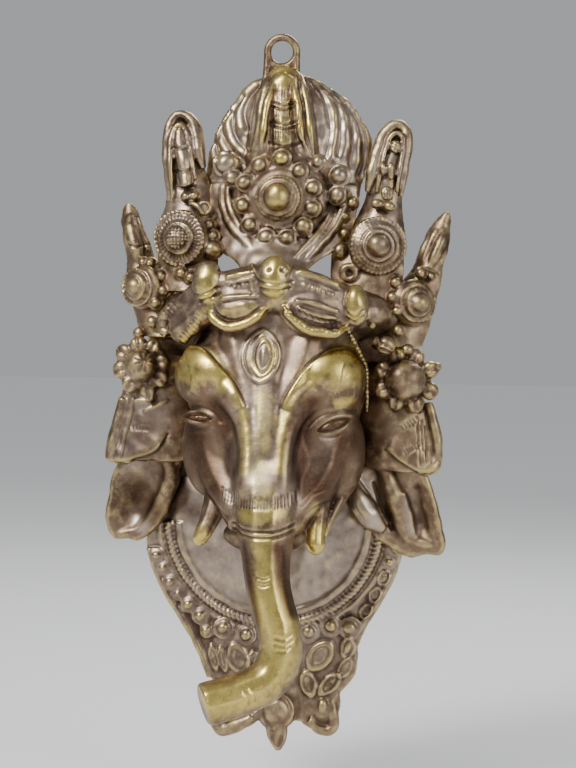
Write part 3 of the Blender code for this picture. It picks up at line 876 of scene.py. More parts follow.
# %% Side leaves: the left ones
shapes = [
    plate(
        (
            (-41.5, -73.5, -68, 6, 7),
            (-46, -79, -63, 6, 9),
            (-52, -81, -60, 6, 10),
            (-64, -82, -57.5, 7, 13),
            (-84, -80.5, -51.5, 9, 16),
            (-104, -79.5, -44, 12, 20),
            (-124, -84, -43, 16, 26),
            (-138, -83, -39, 20, 29),
            (-150, -82, -39, 24, 32),
            (-168, -78, -36, 30, 40),
        )
    ),
    plate(
        (
            (-106, -109, -105, 5, 6),
            (-110, -112, -101, 5, 7),
            (-118, -113, -98, 5, 9),
            (-128, -111.5, -93, 6, 12),
            (-144, -108, -86, 9, 16),
            (-160, -106.5, -74, 14, 21),
            (-178, -101, -68, 18, 26),
            (-200, -94, -62, 22, 32),
        )
    ),
]

# %% Side leaves: bands, bosses and beads on the left
LEFT_BAND = (
    (-75.8, -104.6, 20, 2.6),
    (-77.5, -80.1, 17, 3),
    (-78.4, -62.5, 14, 3),
    (-76.6, -49.7, 12, 2.8),
    (-71.5, -44.7, 11, 2.6),
    (-64.5, -46.9, 12, 3),
    (-59.2, -55.3, 13, 3.6),
    (-56.3, -69.4, 16, 3.6),
    (-52.6, -82.1, 19, 3),
)
LEFT_ARCH = (
    (-73.2, -104.8, 24, 1.2),
    (-75.2, -76.8, 20, 1.3),
    (-75.4, -61.3, 17, 1.3),
    (-73.2, -54.2, 16, 1.2),
    (-69.7, -51.8, 16, 1.2),
    (-65.7, -54.9, 16, 1.2),
    (-62.7, -64.7, 18, 1.3),
    (-60.3, -76.7, 20, 1.3),
    (-56.7, -90.7, 23, 1.2),
)
LEFT_FINGER = ((-70, -56.1, 14, 4), (-68.7, -66, 16, 5), (-65.4, -80.1, 19, 5.4), (-62.5, -95.6, 22, 5.2))
shapes += [relief(LEFT_BAND, 1.35, 2.2), relief(LEFT_ARCH, 1.5, 1.2), roll(LEFT_FINGER)]
shapes += boss(-65.4, -131.6, 38, -14, 1.0)
shapes += beads(-65.5, -131.4, 34, 18.2, 1.5, 34, turn=-14)
shapes += boss(-95.8, -165.8, 33, -34, 0.78)
shapes += beads(-96.9, -165.7, 28, 12.2, 1.4, 22, turn=-34)
for x, z, depth, size in (
    (-41.5, -138.7, 34, 5.6),
    (-45.2, -122, 29, 3.6),
    (-41.9, -129.6, 31, 3.4),
    (-62.5, -102.7, 25, 2.8),
    (-57, -101.9, 24, 3),
    (-78, -157.8, 29, 3.8),
    (-75.8, -168.2, 32, 3.8),
    (-80.6, -176.6, 34, 3.6),
    (-92.8, -148.1, 22, 2.6),
    (-87.4, -148.8, 24, 2.8),
    (-62.6, -155.6, 38, 3.2),
    (-55.1, -158.3, 40, 3.4),
):
    shapes.append(egg(x, z, depth, size, size, size))
    shapes.append(hoop(x, z, depth - 0.6 * size, size + 0.8, 1.1))
shapes.append(hoop(-49.1, -110.2, 26, 4, 1.5))
shapes.append(roll(((-59.6, -106.8, 25, 1.8), (-54.2, -108.9, 27, 1.9), (-49.7, -115.1, 28, 1.7))))
for spine in (
    (
        (-106.4, -111.4, 8, 2.2),
        (-103.7, -124.2, 13, 3.2),
        (-98.8, -138.3, 18, 3.4),
        (-95.3, -148.1, 20, 2.6),
    ),
    ((-102.8, -113.5, 8, 1.4), (-97.2, -126.9, 13, 1.5), (-91.1, -139.6, 17, 1.5)),
    ((-109.4, -114.9, 7, 1.4), (-107.5, -129.1, 10, 1.5), (-103.5, -148.1, 15, 1.5)),
):
    shapes.append(relief(spine, 1.5, 1.6))
leaves_left = press("leaves_left", shapes, 0.88, 1)
print("left leaves:", len(leaves_left.data.polygons), "faces")

# %% Side leaves: engraving on the left
finger_joints = (
    ((-74, -67.8), (-67.5, -68.9), (-62.6, -67.7)),
    ((-71.9, -83.9), (-64.9, -85), (-59.9, -83.1)),
    ((-70.6, -95.1), (-63.6, -97.3), (-57.9, -94.2)),
    ((-104.3, -135.6), (-98.4, -137.7), (-92.1, -135.4)),
)
chisel(leaves_left, finger_joints, 0.9, 1.3, deepest=8)
middle = (-64.7, -131.7)
grid = []
for i in range(5):
    across = 2.7 * (i - 2)
    half = (54 - across**2) ** 0.5
    grid.append(((middle[0] - half, middle[1] + across), (middle[0] + half, middle[1] + across)))
    grid.append(((middle[0] + across, middle[1] - half), (middle[0] + across, middle[1] + half)))
chisel(leaves_left, grid, 0.6, 0.7, deepest=36, steps=1)
chisel(leaves_left, ticks(*middle, 11.8, 15, 34), 0.6, 0.8, deepest=20, steps=1)

# %% Side leaves: the right ones
shapes = [
    plate(
        (
            (-47.5, 77.5, 83, 6, 7),
            (-52, 73.5, 88.5, 6, 9),
            (-58, 70, 91.5, 6, 11),
            (-70, 65.5, 92.5, 7, 14),
            (-86, 62, 90, 9, 17),
            (-104, 60, 87.5, 12, 20),
            (-124, 50, 90, 16, 26),
            (-138, 40, 90, 20, 29),
            (-150, 39, 90, 24, 32),
            (-174, 42, 90, 30, 38),
        )
    ),
    plate(
        (
            (-109.5, 115.5, 119, 5, 6),
            (-114, 111, 120.5, 5, 8),
            (-122, 105, 120.5, 6, 10),
            (-134, 99.5, 119, 7, 12),
            (-148, 94.5, 116.5, 9, 16),
            (-164, 84, 114, 14, 20),
            (-182, 76, 110.5, 18, 26),
            (-204, 68, 104, 22, 32),
        )
    ),
]

# %% Side leaves: bands, bosses and beads on the right
RIGHT_BAND = (
    (63.2, -97.5, 20, 2.8),
    (66, -83.5, 17, 3.6),
    (70.2, -66.8, 14, 3.8),
    (75.3, -54.9, 12, 3.2),
    (82.8, -50.3, 11, 2.8),
    (88.9, -56.2, 12, 2.8),
    (89.9, -66.6, 14, 2.8),
    (88.1, -80.6, 17, 2.6),
    (86.1, -100, 21, 2.4),
)
RIGHT_ARCH = (
    (69.7, -97.6, 23, 1.2),
    (72.5, -80.9, 20, 1.3),
    (76, -65.6, 17, 1.3),
    (79.9, -57.2, 16, 1.2),
    (84.7, -57.2, 16, 1.2),
    (87.1, -65.5, 17, 1.3),
    (85.6, -80.8, 20, 1.3),
    (83.6, -97.5, 24, 1.2),
)
shapes += [relief(RIGHT_BAND, 1.35, 2.2), relief(RIGHT_ARCH, 1.5, 1.2)]
for x, z, depth, wide, tall in (
    (82, -66.3, 18, 4, 4.6),
    (79.5, -83.3, 21, 3, 6.2),
    (73.9, -81.6, 20, 2.4, 5),
    (77.5, -98.3, 25, 4.6, 4.8),
    (70.9, -105.9, 26, 4.4, 3.6),
    (79.9, -107.9, 27, 4.2, 3.6),
):
    shapes.append(egg(x, z, depth, wide, tall, 3.6))
shapes += boss(73.7, -134.7, 38, 16, 1.0)
shapes += beads(73.5, -134.6, 36, 13.6, 1.25, 32, turn=16)
shapes += beads(73.2, -134.5, 33, 18.6, 1.5, 38, turn=16)
shapes += boss(101.7, -173.2, 33, 36, 0.8)
shapes += beads(101.3, -173.2, 28, 12.6, 1.4, 24, turn=36)
for x, z, depth, size in (
    (46.6, -138.5, 28, 4.8),
    (48.7, -126.1, 25, 3.2),
    (85.5, -159.8, 31, 3.8),
    (83.2, -169.5, 34, 3.8),
    (87, -178.9, 36, 3.6),
    (101.8, -152.6, 23, 3.2),
    (108.6, -154.5, 22, 2.6),
    (48.6, -114.3, 23, 3),
    (53.1, -105.2, 21, 3.4),
):
    shapes.append(egg(x, z, depth, size, size, size))
    shapes.append(hoop(x, z, depth - 0.6 * size, size + 0.8, 1.1))
shapes.append(hoop(53.4, -153.3, 34, 4.4, 2.2))
shapes.append(egg(53, -153.2, 30, 6, 6, 3))
for spine in (
    ((116.3, -114.1, 7, 1.6), (109.3, -126.7, 11, 2), (101.9, -144.9, 17, 2)),
    ((118.5, -116.8, 8, 2), (113.7, -132.2, 13, 3), (106.9, -149, 19, 2.6)),
    ((111.6, -118.3, 7, 1.4), (104.5, -130.9, 11, 1.6), (97.6, -146.3, 15, 1.5)),
    ((119.3, -122.3, 7, 1.2), (117, -136.2, 10, 1.5), (112.2, -151.6, 15, 1.4)),
):
    shapes.append(relief(spine, 1.5, 1.6))
leaves_right = press("leaves_right", shapes, 0.88, 1)
strokes = [
    ((79.5, -63.8), (84.7, -66.5)),
    ((79.9, -66.5), (84.8, -69.2)),
    ((77.7, -95.7), (77.8, -101.9)),
]
strokes += [((76, -96.4), (76.1, -101.2)), ((79.4, -96.4), (79.5, -101.2))]
strokes += [((95.3, -151.3), (103.7, -149.1), (113.1, -152.3))]
chisel(leaves_right, strokes, 0.7, 0.9, deepest=8)
middle = (74.1, -134.8)
chisel(leaves_right, ticks(*middle, 11.2, 12.6, 40), 0.55, 0.5, deepest=20, steps=1)
print("leaves:", len(leaves_left.data.polygons), len(leaves_right.data.polygons), "faces")

# %% [markdown]
# ## The headband
# A broad band lies over the forehead with three big gold-coloured beads on it. Two half-round
# medallions with bright rims hang from its lower edge, and beaded cords run down from their ends.
# The band could be bent round the forehead from a flat strip. Rolls that follow its curve, one below
# the other, give the same and already bulge as the real band does.

# %% Headband: band, beads and medallions
BAND = (
    (-76, -198, 34, 7),
    (-64, -183, 48, 8),
    (-40, -167, 62, 8.5),
    (-14, -160, 68, 9),
    (7, -158, 70, 9),
    (32, -162, 68, 9),
    (60, -175, 60, 8.5),
    (80, -194, 46, 8),
    (89, -208, 34, 7),
)
shapes = [egg(6, -181, 20, 85, 25, 48, rings=30)]
for drop in (0, 5, 10, 15):
    lower = [(x, z - drop, depth - 1.5, radius) for x, z, depth, radius in BAND[1:-2]]
    shapes.append(roll(lower, steps=10))
shapes.append(egg(-17.9, -177, 69, 23, 16, 8, turn=-10))
shapes.append(egg(35, -180, 69, 25, 17, 8, turn=12))
headband = press("headband", shapes, 1.1, 8)

shapes = [headband]
shapes.append(egg(7.7, -158.8, 73.5, 12, 15.2, 10))
shapes.append(egg(-38.9, -162.5, 66, 11, 14.8, 9.5, turn=-18))
shapes.append(egg(61.6, -176.1, 64, 9.2, 14.6, 9.5, turn=22))
LEFT_RIM = (
    (-37.4, -176.7, 69, 2.4),
    (-34.3, -184.7, 72, 3.2),
    (-27.5, -190.2, 75, 3.6),
    (-19.7, -191.7, 77, 3.7),
    (-10.8, -189.6, 78, 3.6),
    (-2.6, -184.4, 79, 3.2),
    (4, -177.3, 79, 2.2),
)
RIGHT_RIM = (
    (14.7, -175.1, 79, 2.2),
    (17.9, -181.7, 79.5, 3.2),
    (24.4, -187.9, 79, 3.6),
    (33, -192.7, 77.5, 3.7),
    (42.8, -194.5, 75.5, 3.7),
    (51.2, -193.7, 72.5, 3.4),
    (56.4, -188.9, 69.5, 2.6),
)
shapes += [relief(LEFT_RIM, 1, 1.4), relief(RIGHT_RIM, 1, 1.4)]

print("band, beads and medallions:", len(shapes), "shapes of wax")

# %% [markdown]
# At its ends the band breaks up into ribbed and shell-like rolls and loose beads, and a thin cord of
# beads hangs down on the right. Rolls and eggs are enough here, as the strokes come afterwards.

# %% Headband: beads at the ends and cords
for bar in (
    ((-40.9, -181.4, 66, 3), (-48, -191.1, 60, 4.4), (-57, -201.5, 52, 3.4)),
    ((-61.6, -174.3, 52, 3), (-67.8, -181.2, 48, 5), (-73.4, -190.9, 44, 5.6), (-69.3, -199.1, 46, 4)),
    (
        (56, -189.6, 68, 1.4),
        (62.3, -202.2, 62, 1.7),
        (67.9, -217.9, 48, 1.5),
        (68.1, -234.4, 40, 1.4),
        (67.7, -248.3, 34, 1.2),
    ),
):
    shapes.append(roll(bar))
for x, z, depth, size in (
    (-93.9, -197.7, 26, 4.6),
    (-83.2, -189.8, 34, 4.4),
    (81.3, -202.7, 50, 6.8),
    (74.5, -199.4, 50, 3.6),
    (88.2, -192.5, 38, 4.4),
    (94.9, -205.3, 34, 4.6),
    (72, -188.7, 54, 3),
    (-55.9, -181.7, 56, 3),
):
    shapes.append(egg(x, z, depth, size, size, size, rings=10))
headband = press("headband", shapes, 0.87, 2)

# %% [markdown]
# Ribs, shells and cords are all the same work: short strokes across a line, at even steps. One
# function sets them square to the line wherever it turns.

# %% Headband: strokes across a rim


def strokes_along(rim, count, half):
    """Short strokes across a rim at even steps."""
    run = smooth_run([(x, z) for x, z, depth, radius in rim], 12)
    picks = np.linspace(1, len(run) - 2, count).astype(int)
    made = []
    for i in picks:
        forward = run[i + 1] - run[i - 1]
        across = np.array((-forward[1], forward[0])) / np.linalg.norm(forward) * half
        made.append((run[i] - across, run[i] + across))
    return made


# %% Headband: bars, knobs and engraved lines
BARS = (
    ((-23.4, -158.3), (-15.6, -156.5), (-7.3, -154.7)),
    ((-21.9, -162), (-14.2, -160.2), (-6.6, -158.4)),
    ((25.3, -154.2), (37.3, -157.7), (49.7, -162.4)),
    ((-26.3, -173.1), (-14.8, -171.3), (-3.7, -170.7)),
    ((24.1, -173.6), (35.9, -175.3), (49.5, -179.7)),
    ((25.5, -178.2), (36.1, -182.6), (48.9, -184.4)),
    ((-7.4, -160.8), (-6.5, -167.5)),
    ((-30.5, -151.4), (-17.6, -148.6), (-4.8, -147.8)),
    ((19.1, -148.1), (31.5, -149.8), (47.1, -154.1)),
    ((-14.5, -145), (-8, -150.5), (-3.1, -157.2)),
    ((24.7, -143.8), (19.9, -148.7), (17.2, -154.2)),
)
chisel(headband, BARS, 1.6, -1.7, deepest=30)
chisel(headband, [[(x, z - 2.6) for x, z in bar] for bar in BARS], 0.9, 0.7, deepest=30)
KNOBS = [(-18.9, -164.3), (-13.1, -163.2)]
KNOBS.extend(smooth_run(((28.1, -162.9), (37.5, -166), (46.6, -168.6)), 3))
chisel(headband, [((x, z), (x + 0.2, z)) for x, z in KNOBS], 1.3, -1.3, deepest=30, steps=1)
FIELDS = (
    ((-33.8, -176.6), (-29.9, -183.9), (-21.3, -187.1), (-10.9, -184.9), (-2, -178.7)),
    ((20.1, -176.3), (25, -182.9), (33.6, -187.3), (43.3, -189.2), (52.3, -187.7)),
)
chisel(headband, FIELDS, 0.9, 1.0, deepest=30)
chisel(headband, (((-24.8, -179.8), (-18.6, -179.7), (-12.4, -177.6)),), 3, -0.9, deepest=30)
RIBBED = ((-40.9, -181.4, 66, 1), (-48, -191.1, 60, 1), (-57, -201.5, 52, 1))
SHELL = ((-63.3, -177, 50, 1), (-70.9, -186.8, 46, 1), (-70.7, -199.1, 46, 1))
CORD = (
    (56, -189.6, 68, 1),
    (62.3, -202.2, 62, 1),
    (67.9, -217.9, 48, 1),
    (68.1, -234.4, 40, 1),
    (67.8, -253.8, 34, 1),
)
chisel(headband, strokes_along(RIGHT_RIM, 12, 1.8), 0.7, 0.3, deepest=60, steps=1)
chisel(headband, strokes_along(RIBBED, 10, 3), 0.6, 0.6, steps=1)
chisel(headband, strokes_along(SHELL, 6, 3.6), 0.7, 0.7, steps=1)
chisel(headband, strokes_along(CORD, 26, 2), 0.6, 0.9, steps=1)
BEAD_GROOVES = (
    ((-2.3, -160.8), (5.4, -162.4), (13.5, -162.2), (20.5, -160.1)),
    ((-1.1, -165.7), (5.9, -167), (13.3, -166.8), (19, -164.7)),
    ((-45.5, -171.4), (-38, -169.3), (-30.2, -165.2)),
    ((-43.3, -175.4), (-36.7, -173.3), (-29.6, -169.2)),
    ((56.9, -180.9), (61.9, -183.5), (68.1, -178.7)),
    ((57.5, -184.9), (62.5, -186.8), (68.1, -182.7)),
    ((77.6, -200.7), (82.6, -201.9), (86.4, -204.5)),
    ((77.7, -204.7), (82.6, -205.9), (85.8, -207.9)),
)
chisel(headband, BEAD_GROOVES, 0.9, 1.1)
DIMPLES = (((5, -153.4), (5.6, -153.4)), ((13.7, -152.9), (14.3, -152.9)))
chisel(headband, DIMPLES, 1.2, 1.2, steps=1)
scribble = []
for i in range(9):
    x, z = -0.5 + 4.2 * i, -176.5 - 1.6 * i
    scribble.append(((x + 16, z + 1.5), (x + 18.5, z - 2.5)))
    scribble.append(((x + 15, z - 3.2), (x + 18.5, z - 3.8)))
chisel(headband, scribble, 0.6, 0.6, deepest=60, steps=1)
print("headband:", len(headband.data.polygons), "faces")

# %% [markdown]
# ## The ears
# An ear is a square upper lobe with a rolled outer strip, folded over a hollow lower lobe like a
# leaf over a leaf. A round flower hides the place where the ear grows out of the head. Each lobe is
# a plate, and the fold between them is a ledge that is pressed in after the two are one skin. That
# keeps the fold crisp, where one plate with a crease in it would bulge.

# %% Ears: flowers


def flower(x, z, depth, turn, size, petals):
    """A ball in a ring of fleshy petals, on a stalk from the head."""
    out_x, out = sin(radians(turn)), cos(radians(turn))
    made = [roll(((x * 0.72, z, 14, 12), (x * 0.9, z, 24, 13), (x - 6 * out_x, z, depth - 8, 15)))]
    made.append(egg(x - 8 * out_x, z, depth - 8, 17, 17, 6, turn=turn))
    made.append(egg(x, z, depth, size, size, size, turn=turn, rings=20))

    def on_disc(angle, reach, radius):
        far = reach * cos(radians(angle))
        return (x + far * out, z + reach * sin(radians(angle)), depth - 7 - far * out_x, radius)

    for angle, reach, half, point in petals:
        made.append(egg(*on_disc(angle, reach, 0)[:3], 0.92 * half, 0.92 * half, 0.75 * half, turn=turn))
        tip = ((0.9, 0.8), (1.12, 0.62), (1.26 + 0.4 * point, 0.36))
        made.append(roll([on_disc(angle, reach * share, half * wide) for share, wide in tip]))
    return made


def petal_cups(x, z, turn, petals):
    """A soft stroke down the middle of every petal."""
    strokes = []
    for angle, reach, half, point in petals:
        across, up = cos(radians(angle)) * cos(radians(turn)), sin(radians(angle))
        shares = (0.9, 1.15 + 0.5 * point)
        strokes.append([(x + share * reach * across, z + share * reach * up) for share in shares])
    return strokes


LEFT_PETALS = (
    (150, 16, 7.4, 0.4),
    (192, 16.5, 7.4, 0.25),
    (234, 16, 7, 0.25),
    (284, 17.5, 6.6, 0.4),
    (328, 15.5, 6.6, 0.2),
    (12, 14, 6.6, 0.2),
    (60, 14.5, 6.4, 0.25),
    (104, 15, 6.8, 0.3),
)
RIGHT_PETALS = (
    (22, 18.5, 6.6, 0.4),
    (336, 18.5, 7, 0.15),
    (292, 18, 6.6, 0.2),
    (248, 17, 6.4, 0.2),
    (204, 16.5, 7, 0.15),
    (158, 16.5, 7, 0.15),
    (112, 16.5, 6.4, 0.15),
    (66, 17, 6.4, 0.2),
)

# %% Ears: the left one
shapes = [
    plate(
        (
            (-232, -105, -60, 16, 24),
            (-237, -107, -58, 17, 26),
            (-252, -111, -56, 18, 27),
            (-270, -115, -54, 19, 28),
            (-284, -116.5, -56, 20, 28),
            (-288, -112, -66, 21, 27),
        )
    ),
    plate(
        (
            (-278, -104, -60, 18, 20),
            (-298, -113, -68, 18, 15),
            (-316, -115, -73, 18, 12),
            (-330, -116.5, -80, 17, 11),
            (-338, -114.5, -88, 16, 12),
            (-342, -112, -98, 15, 13),
        )
    ),
]
for edge in (
    (
        (-75, -285.8, 17, 4.5),
        (-71.6, -296.4, 15, 6.6),
        (-76.1, -310.8, 13, 6.6),
        (-84, -325.3, 11.5, 5.8),
        (-92.6, -334.8, 11, 4.2),
    ),
    (
        (-108.6, -299.1, 13, 2.6),
        (-112.2, -314.1, 12, 3.4),
        (-114, -327.7, 11, 4.4),
        (-113.2, -339.8, 10.5, 4),
    ),
    ((-113.5, -341.3, 10.5, 3.6), (-103.3, -339.5, 11, 3.8), (-92.6, -335.5, 11, 4)),
):
    shapes.append(roll(edge))
ear_left = press("ear_left", shapes, 1.1, 9)
LEFT_STRIP = (
    (-105.9, -243.6, 20, 3),
    (-108.7, -259.2, 19, 5),
    (-111.4, -274.8, 18.5, 6),
    (-113.5, -287.5, 18, 5),
)
shapes = [ear_left, roll(LEFT_STRIP)]
shapes += flower(-89.6, -220.3, 38, -12, 11.4, LEFT_PETALS)
ear_left = press("ear_left", shapes, 0.95, 1)
chisel(ear_left, petal_cups(-89.6, -220.3, -12, LEFT_PETALS), 1.9, 1.5, deepest=20, steps=2)
FOLD = ((-71.7, -267.5), (-78.8, -279), (-91.7, -285), (-103.3, -288.2), (-116.4, -288.6))
ledge(ear_left, FOLD, 2.2, 14, deepest=8)
chisel(ear_left, (FOLD,), 0.9, 0.9, deepest=8)
chisel(ear_left, (((-97, -241.7), (-98.7, -254.9), (-102.7, -270.4), (-104.8, -284.5)),), 0.8, 0.9)
chisel(ear_left, (((-84.9, -293.3), (-91.8, -309.3), (-98.5, -323.8)),), 7, 3.6)
threads = (
    ((-96.5, -245.1), (-85, -244.5)),
    ((-88.4, -251.8), (-80.4, -248.1), (-73.2, -244.4)),
)
chisel(ear_left, threads, 0.9, -1.1)
flower_top = (-85.1, -216.6)
chisel(ear_left, ticks(*flower_top, 1.5, 7, 9), 0.8, 0.5, deepest=36, steps=1)
strokes = []
for i in range(5):
    x, z = -97.6, -263.9
    strokes.append(((x + 2.6 * i, z + 1.2), (x + 2.6 * i + 0.8, z - 1.4)))
chisel(ear_left, strokes, 0.6, 0.8, steps=1)
print("left ear:", len(ear_left.data.polygons), "faces")

# %% Ears: the right one
shapes = [
    plate(
        (
            (-237, 62, 104, 16, 24),
            (-246, 60, 110, 17, 26),
            (-258, 60, 115, 18, 27),
            (-272, 60, 118, 19, 28),
            (-284, 62, 117, 20, 28),
            (-290, 76, 111, 21, 27),
        )
    ),
    plate(
        (
            (-280, 58, 104, 18, 20),
            (-300, 60, 111, 18, 15),
            (-316, 64, 115.5, 18, 12),
            (-332, 72, 119, 17, 11),
            (-342, 86, 121, 16, 12),
            (-347, 100, 116, 15, 13),
        )
    ),
]
for edge in (
    ((56.8, -296.4, 20, 4), (61.5, -308.5, 22, 8.5), (69.2, -320.2, 21, 9.5), (79.5, -329.9, 17, 6)),
    ((78.6, -284.8, 18, 5), (84.4, -302.8, 16, 7.5), (90.8, -322.3, 13, 7), (94.4, -336.3, 11, 4.5)),
    ((91.5, -303.8, 18, 3), (95.7, -319.9, 14.5, 4), (99.3, -334.6, 12, 3.6)),
    ((106.1, -295.5, 12, 3.4), (109.1, -312.8, 11, 4.4), (115.8, -337.7, 10, 4.6)),
    ((115.9, -340.5, 10, 4), (105.5, -339.4, 11, 4.2), (93.8, -336.9, 12, 4)),
):
    shapes.append(roll(edge))
ear_right = press("ear_right", shapes, 1.1, 9)
rim = (
    (108.4, -241, 21, 3),
    (112.9, -256, 22, 3.6),
    (115.6, -272.5, 21, 3.8),
    (112.7, -285, 20, 3.6),
    (102.5, -285.9, 22, 3.2),
    (91.5, -279.9, 24, 2.4),
)
shapes = [ear_right, roll(rim)] + flower(93.8, -225.6, 40, 16, 14, RIGHT_PETALS)
ear_right = press("ear_right", shapes, 0.95, 1)
chisel(ear_right, petal_cups(93.8, -225.6, 16, RIGHT_PETALS), 1.9, 1.5, deepest=20, steps=2)
FOLD = ((119, -283.3), (112.3, -290.3), (102.1, -289.1), (90.5, -282.4), (79.5, -274.4))
ledge(ear_right, FOLD, 2.2, 14, deepest=8)
chisel(ear_right, (FOLD,), 0.9, 0.9, deepest=8)
chisel(ear_right, (((100.8, -301.8), (102.8, -313), (106.5, -328.3)),), 3.6, 2.6)
chisel(ear_right, (((71.4, -298.2), (76.8, -313.6), (84.6, -330.1)),), 1.2, 1.8)
chisel(ear_right, (((53.5, -302.9), (55.8, -315.3), (63.5, -328.4), (75.9, -334.4)),), 1.1, 1.6)
LINES = (
    ((101.8, -255.2), (103.5, -270.2), (105.1, -283.9)),
    ((104.1, -253.8), (105.8, -269.5), (106.7, -282.6)),
    ((106.5, -257.9), (107.8, -270.2), (108.3, -281.9)),
)
chisel(ear_right, LINES, 0.7, 0.9)
strokes = []
for i in range(6):
    x, z = 90.4, -258.8
    strokes.append(((x + 2 * i, z + 1 + 1.3 * i), (x + 2 * i + 2, z - 1.6 + 1.3 * i)))
    x, z = 93.5, -275.8
    strokes.append(((x + 1.6 * i, z + 1 + 1.1 * i), (x + 1.6 * i + 1.8, z - 1.6 + 1.1 * i)))
chisel(ear_right, strokes, 0.6, 0.8, steps=1)
print("ears:", len(ear_left.data.polygons), len(ear_right.data.polygons), "faces")

# %% [markdown]
# ## The collar
# A smooth chest bulges inside a rope of beads. Round it runs a carved border that ends in a drop.
# The chest could be an egg laid on the plate, but then its foot shows as a step. So the plate itself
# is lifted inside the rope, by a rule that tells the rope how deep it has to lie too.

# %% Collar: chest and rope
ROPE = (1, -328, 76, 73)
COLLAR_DEPTH = 6
CHEST_BULGE = 17


def chest_lift(x, z):
    """How far the chest bulges out of the collar's plate inside the rope."""
    out_x, out_z = (x - ROPE[0]) / ROPE[2], (z - ROPE[1]) / ROPE[3]
    return CHEST_BULGE * max(0.0, 1 - out_x**2 - out_z**2) ** 0.8


def round_the_rope(angle, share, above):
    """A point on the collar, at a share of the way from the rope's middle to the rope."""
    x = ROPE[0] + share * ROPE[2] * cos(radians(angle))
    z = ROPE[1] + share * ROPE[3] * sin(radians(angle))
    return x, z, COLLAR_DEPTH + chest_lift(x, z) + above


OUTLINE = (
    (-176, -70, 78),
    (-192, -88, 94),
    (-212, -92, 96),
    (-234, -86, 90),
    (-256, -76, 80),
    (-290, -78, 84),
    (-322, -87, 89),
    (-349, -90, 90),
    (-366, -84.5, 85),
    (-384, -75, 77),
    (-402, -64, 67),
    (-418, -52, 60),
    (-436, -43, 53),
    (-452, -40, 45),
    (-468, -38, 46),
)
rows = [(z, left, right, COLLAR_DEPTH, COLLAR_DEPTH) for z, left, right in OUTLINE]
shapes = [plate(rows, lift=chest_lift, columns=100)]


def arc(share, above, rod):
    """A roll that follows the rope from left to right, at a share of its distance from the middle."""
    start, sweep, count = 182, 176, 30
    angles = [start + sweep * i / count for i in range(count + 1)]
    return roll([(*round_the_rope(angle, share, above), rod) for angle in angles])


shapes += [arc(0.87, -3, 5), arc(0.985, 0.6, 3.7), arc(1.075, -0.6, 2.4)]
for side, middle in ((-1, 0), (1, 1)):
    rim = ((88, -350), (82, -368), (72, -386), (60, -404), (49, -424), (43, -440))
    shapes.append(roll([(middle + side * out, z, COLLAR_DEPTH, 2.6) for out, z in rim]))
print("chest and rope:", len(shapes), "shapes of wax")

# %% Collar: beads, cups and the ground under the leaves
RINGED_BEADS = (
    (-82.8, -354.7, 8, 3.4),
    (-77.6, -363.7, 8, 3),
    (-72.4, -373.5, 8, 3.4),
    (-66.5, -381.8, 8, 3),
    (-59.2, -389.3, 8, 3.6),
    (-50.4, -396.8, 8, 4),
    (-45.9, -407.2, 8, 3.2),
    (-33.6, -404.5, 9, 5),
    (-17.1, -408.8, 9, 5),
    (27.5, -404.8, 9, 5),
    (42.9, -400, 9, 5.2),
    (56.3, -400.9, 9, 5.6),
    (83.3, -354.4, 8, 3.6),
    (87.3, -344.5, 8, 4),
)
for x, z, depth, size in RINGED_BEADS:
    shapes.append(egg(x, z, depth, 0.9 * size, 0.9 * size, 0.8 * size))
    shapes.append(hoop(x, z, depth - 1, 1.25 * size, 1.5))
GROUNDS = (
    (-25, -420.6, 3, 20, 24, 6),
    (36.3, -421.6, 3, 26, 30, 6),
    (34.1, -453.5, 3, 16, 22, 6),
)
for ground in GROUNDS:
    shapes.append(egg(*ground))
CUPS = (
    (-33.2, -404.7, 7, 7),
    (-16.7, -409, 7, 6.4),
    (28, -405.8, 7, 7),
    (43.4, -399.6, 7, 7),
    (56.8, -402.5, 7, 6.6),
)
for x, z, depth, size in CUPS:
    shapes.append(egg(x, z, depth, size, size, 3.4))

# %% [markdown]
# The border ends in a drop with a ringed stone, a pointed tail and a curl on each side. Thick rolls
# that get thin at the end are quicker here than plates, and they melt into the border by themselves.

# %% Collar: the drop at its lower end
shapes.append(egg(4.7, -462.3, 5, 14, 14, 8))
shapes.append(egg(5.5, -460.5, 11, 9.5, 9.5, 5))
shapes.append(hoop(5.4, -460.6, 10, 11.6, 1.6))
shapes.append(egg(6.4, -476.9, 10, 3.4, 7.5, 3))
DROP_ROLLS = (
    ((4.8, -470.1, 5, 8.4), (5.7, -477.2, 5, 8), (6.5, -484.2, 5, 5.6), (6.8, -490.1, 4, 2.2)),
    ((0.6, -472.9, 10, 1.2), (1.8, -480.6, 10, 1.2), (6.3, -487.9, 8, 1.1)),
    ((12, -472.4, 10, 1.2), (11.4, -480.2, 10, 1.2), (7.7, -487.8, 8, 1.1)),
    (
        (-41.1, -456.4, 6, 5),
        (-38, -467.6, 6, 6),
        (-33.5, -475.9, 6, 5.6),
        (-23.2, -473, 8, 5.2),
        (-11.8, -466.6, 9, 4),
    ),
    (
        (42.8, -452.8, 5, 4),
        (45.2, -462.4, 6, 4.4),
        (44.7, -472.3, 6, 4.2),
        (36.4, -473.2, 7, 4),
        (28.6, -466.3, 8, 3),
    ),
    ((-7.9, -463.2, 7, 4.6), (-13.3, -468.9, 8, 4), (-20.4, -473.5, 8, 3)),
)
shapes += [roll(knots) for knots in DROP_ROLLS]
shapes.append(egg(38.4, -459, 3, 9.5, 15, 7))
shapes.append(egg(38.4, -456.5, 9, 3.4, 5, 3.4))
collar = press("collar", shapes, 1.0, 2)

# %% [markdown]
# The leaves of the border are raised fields with a vein round their middle. They could be eggs like
# the beads, but leaves are flat on top with a crisp edge, which is what a terrace leaves.

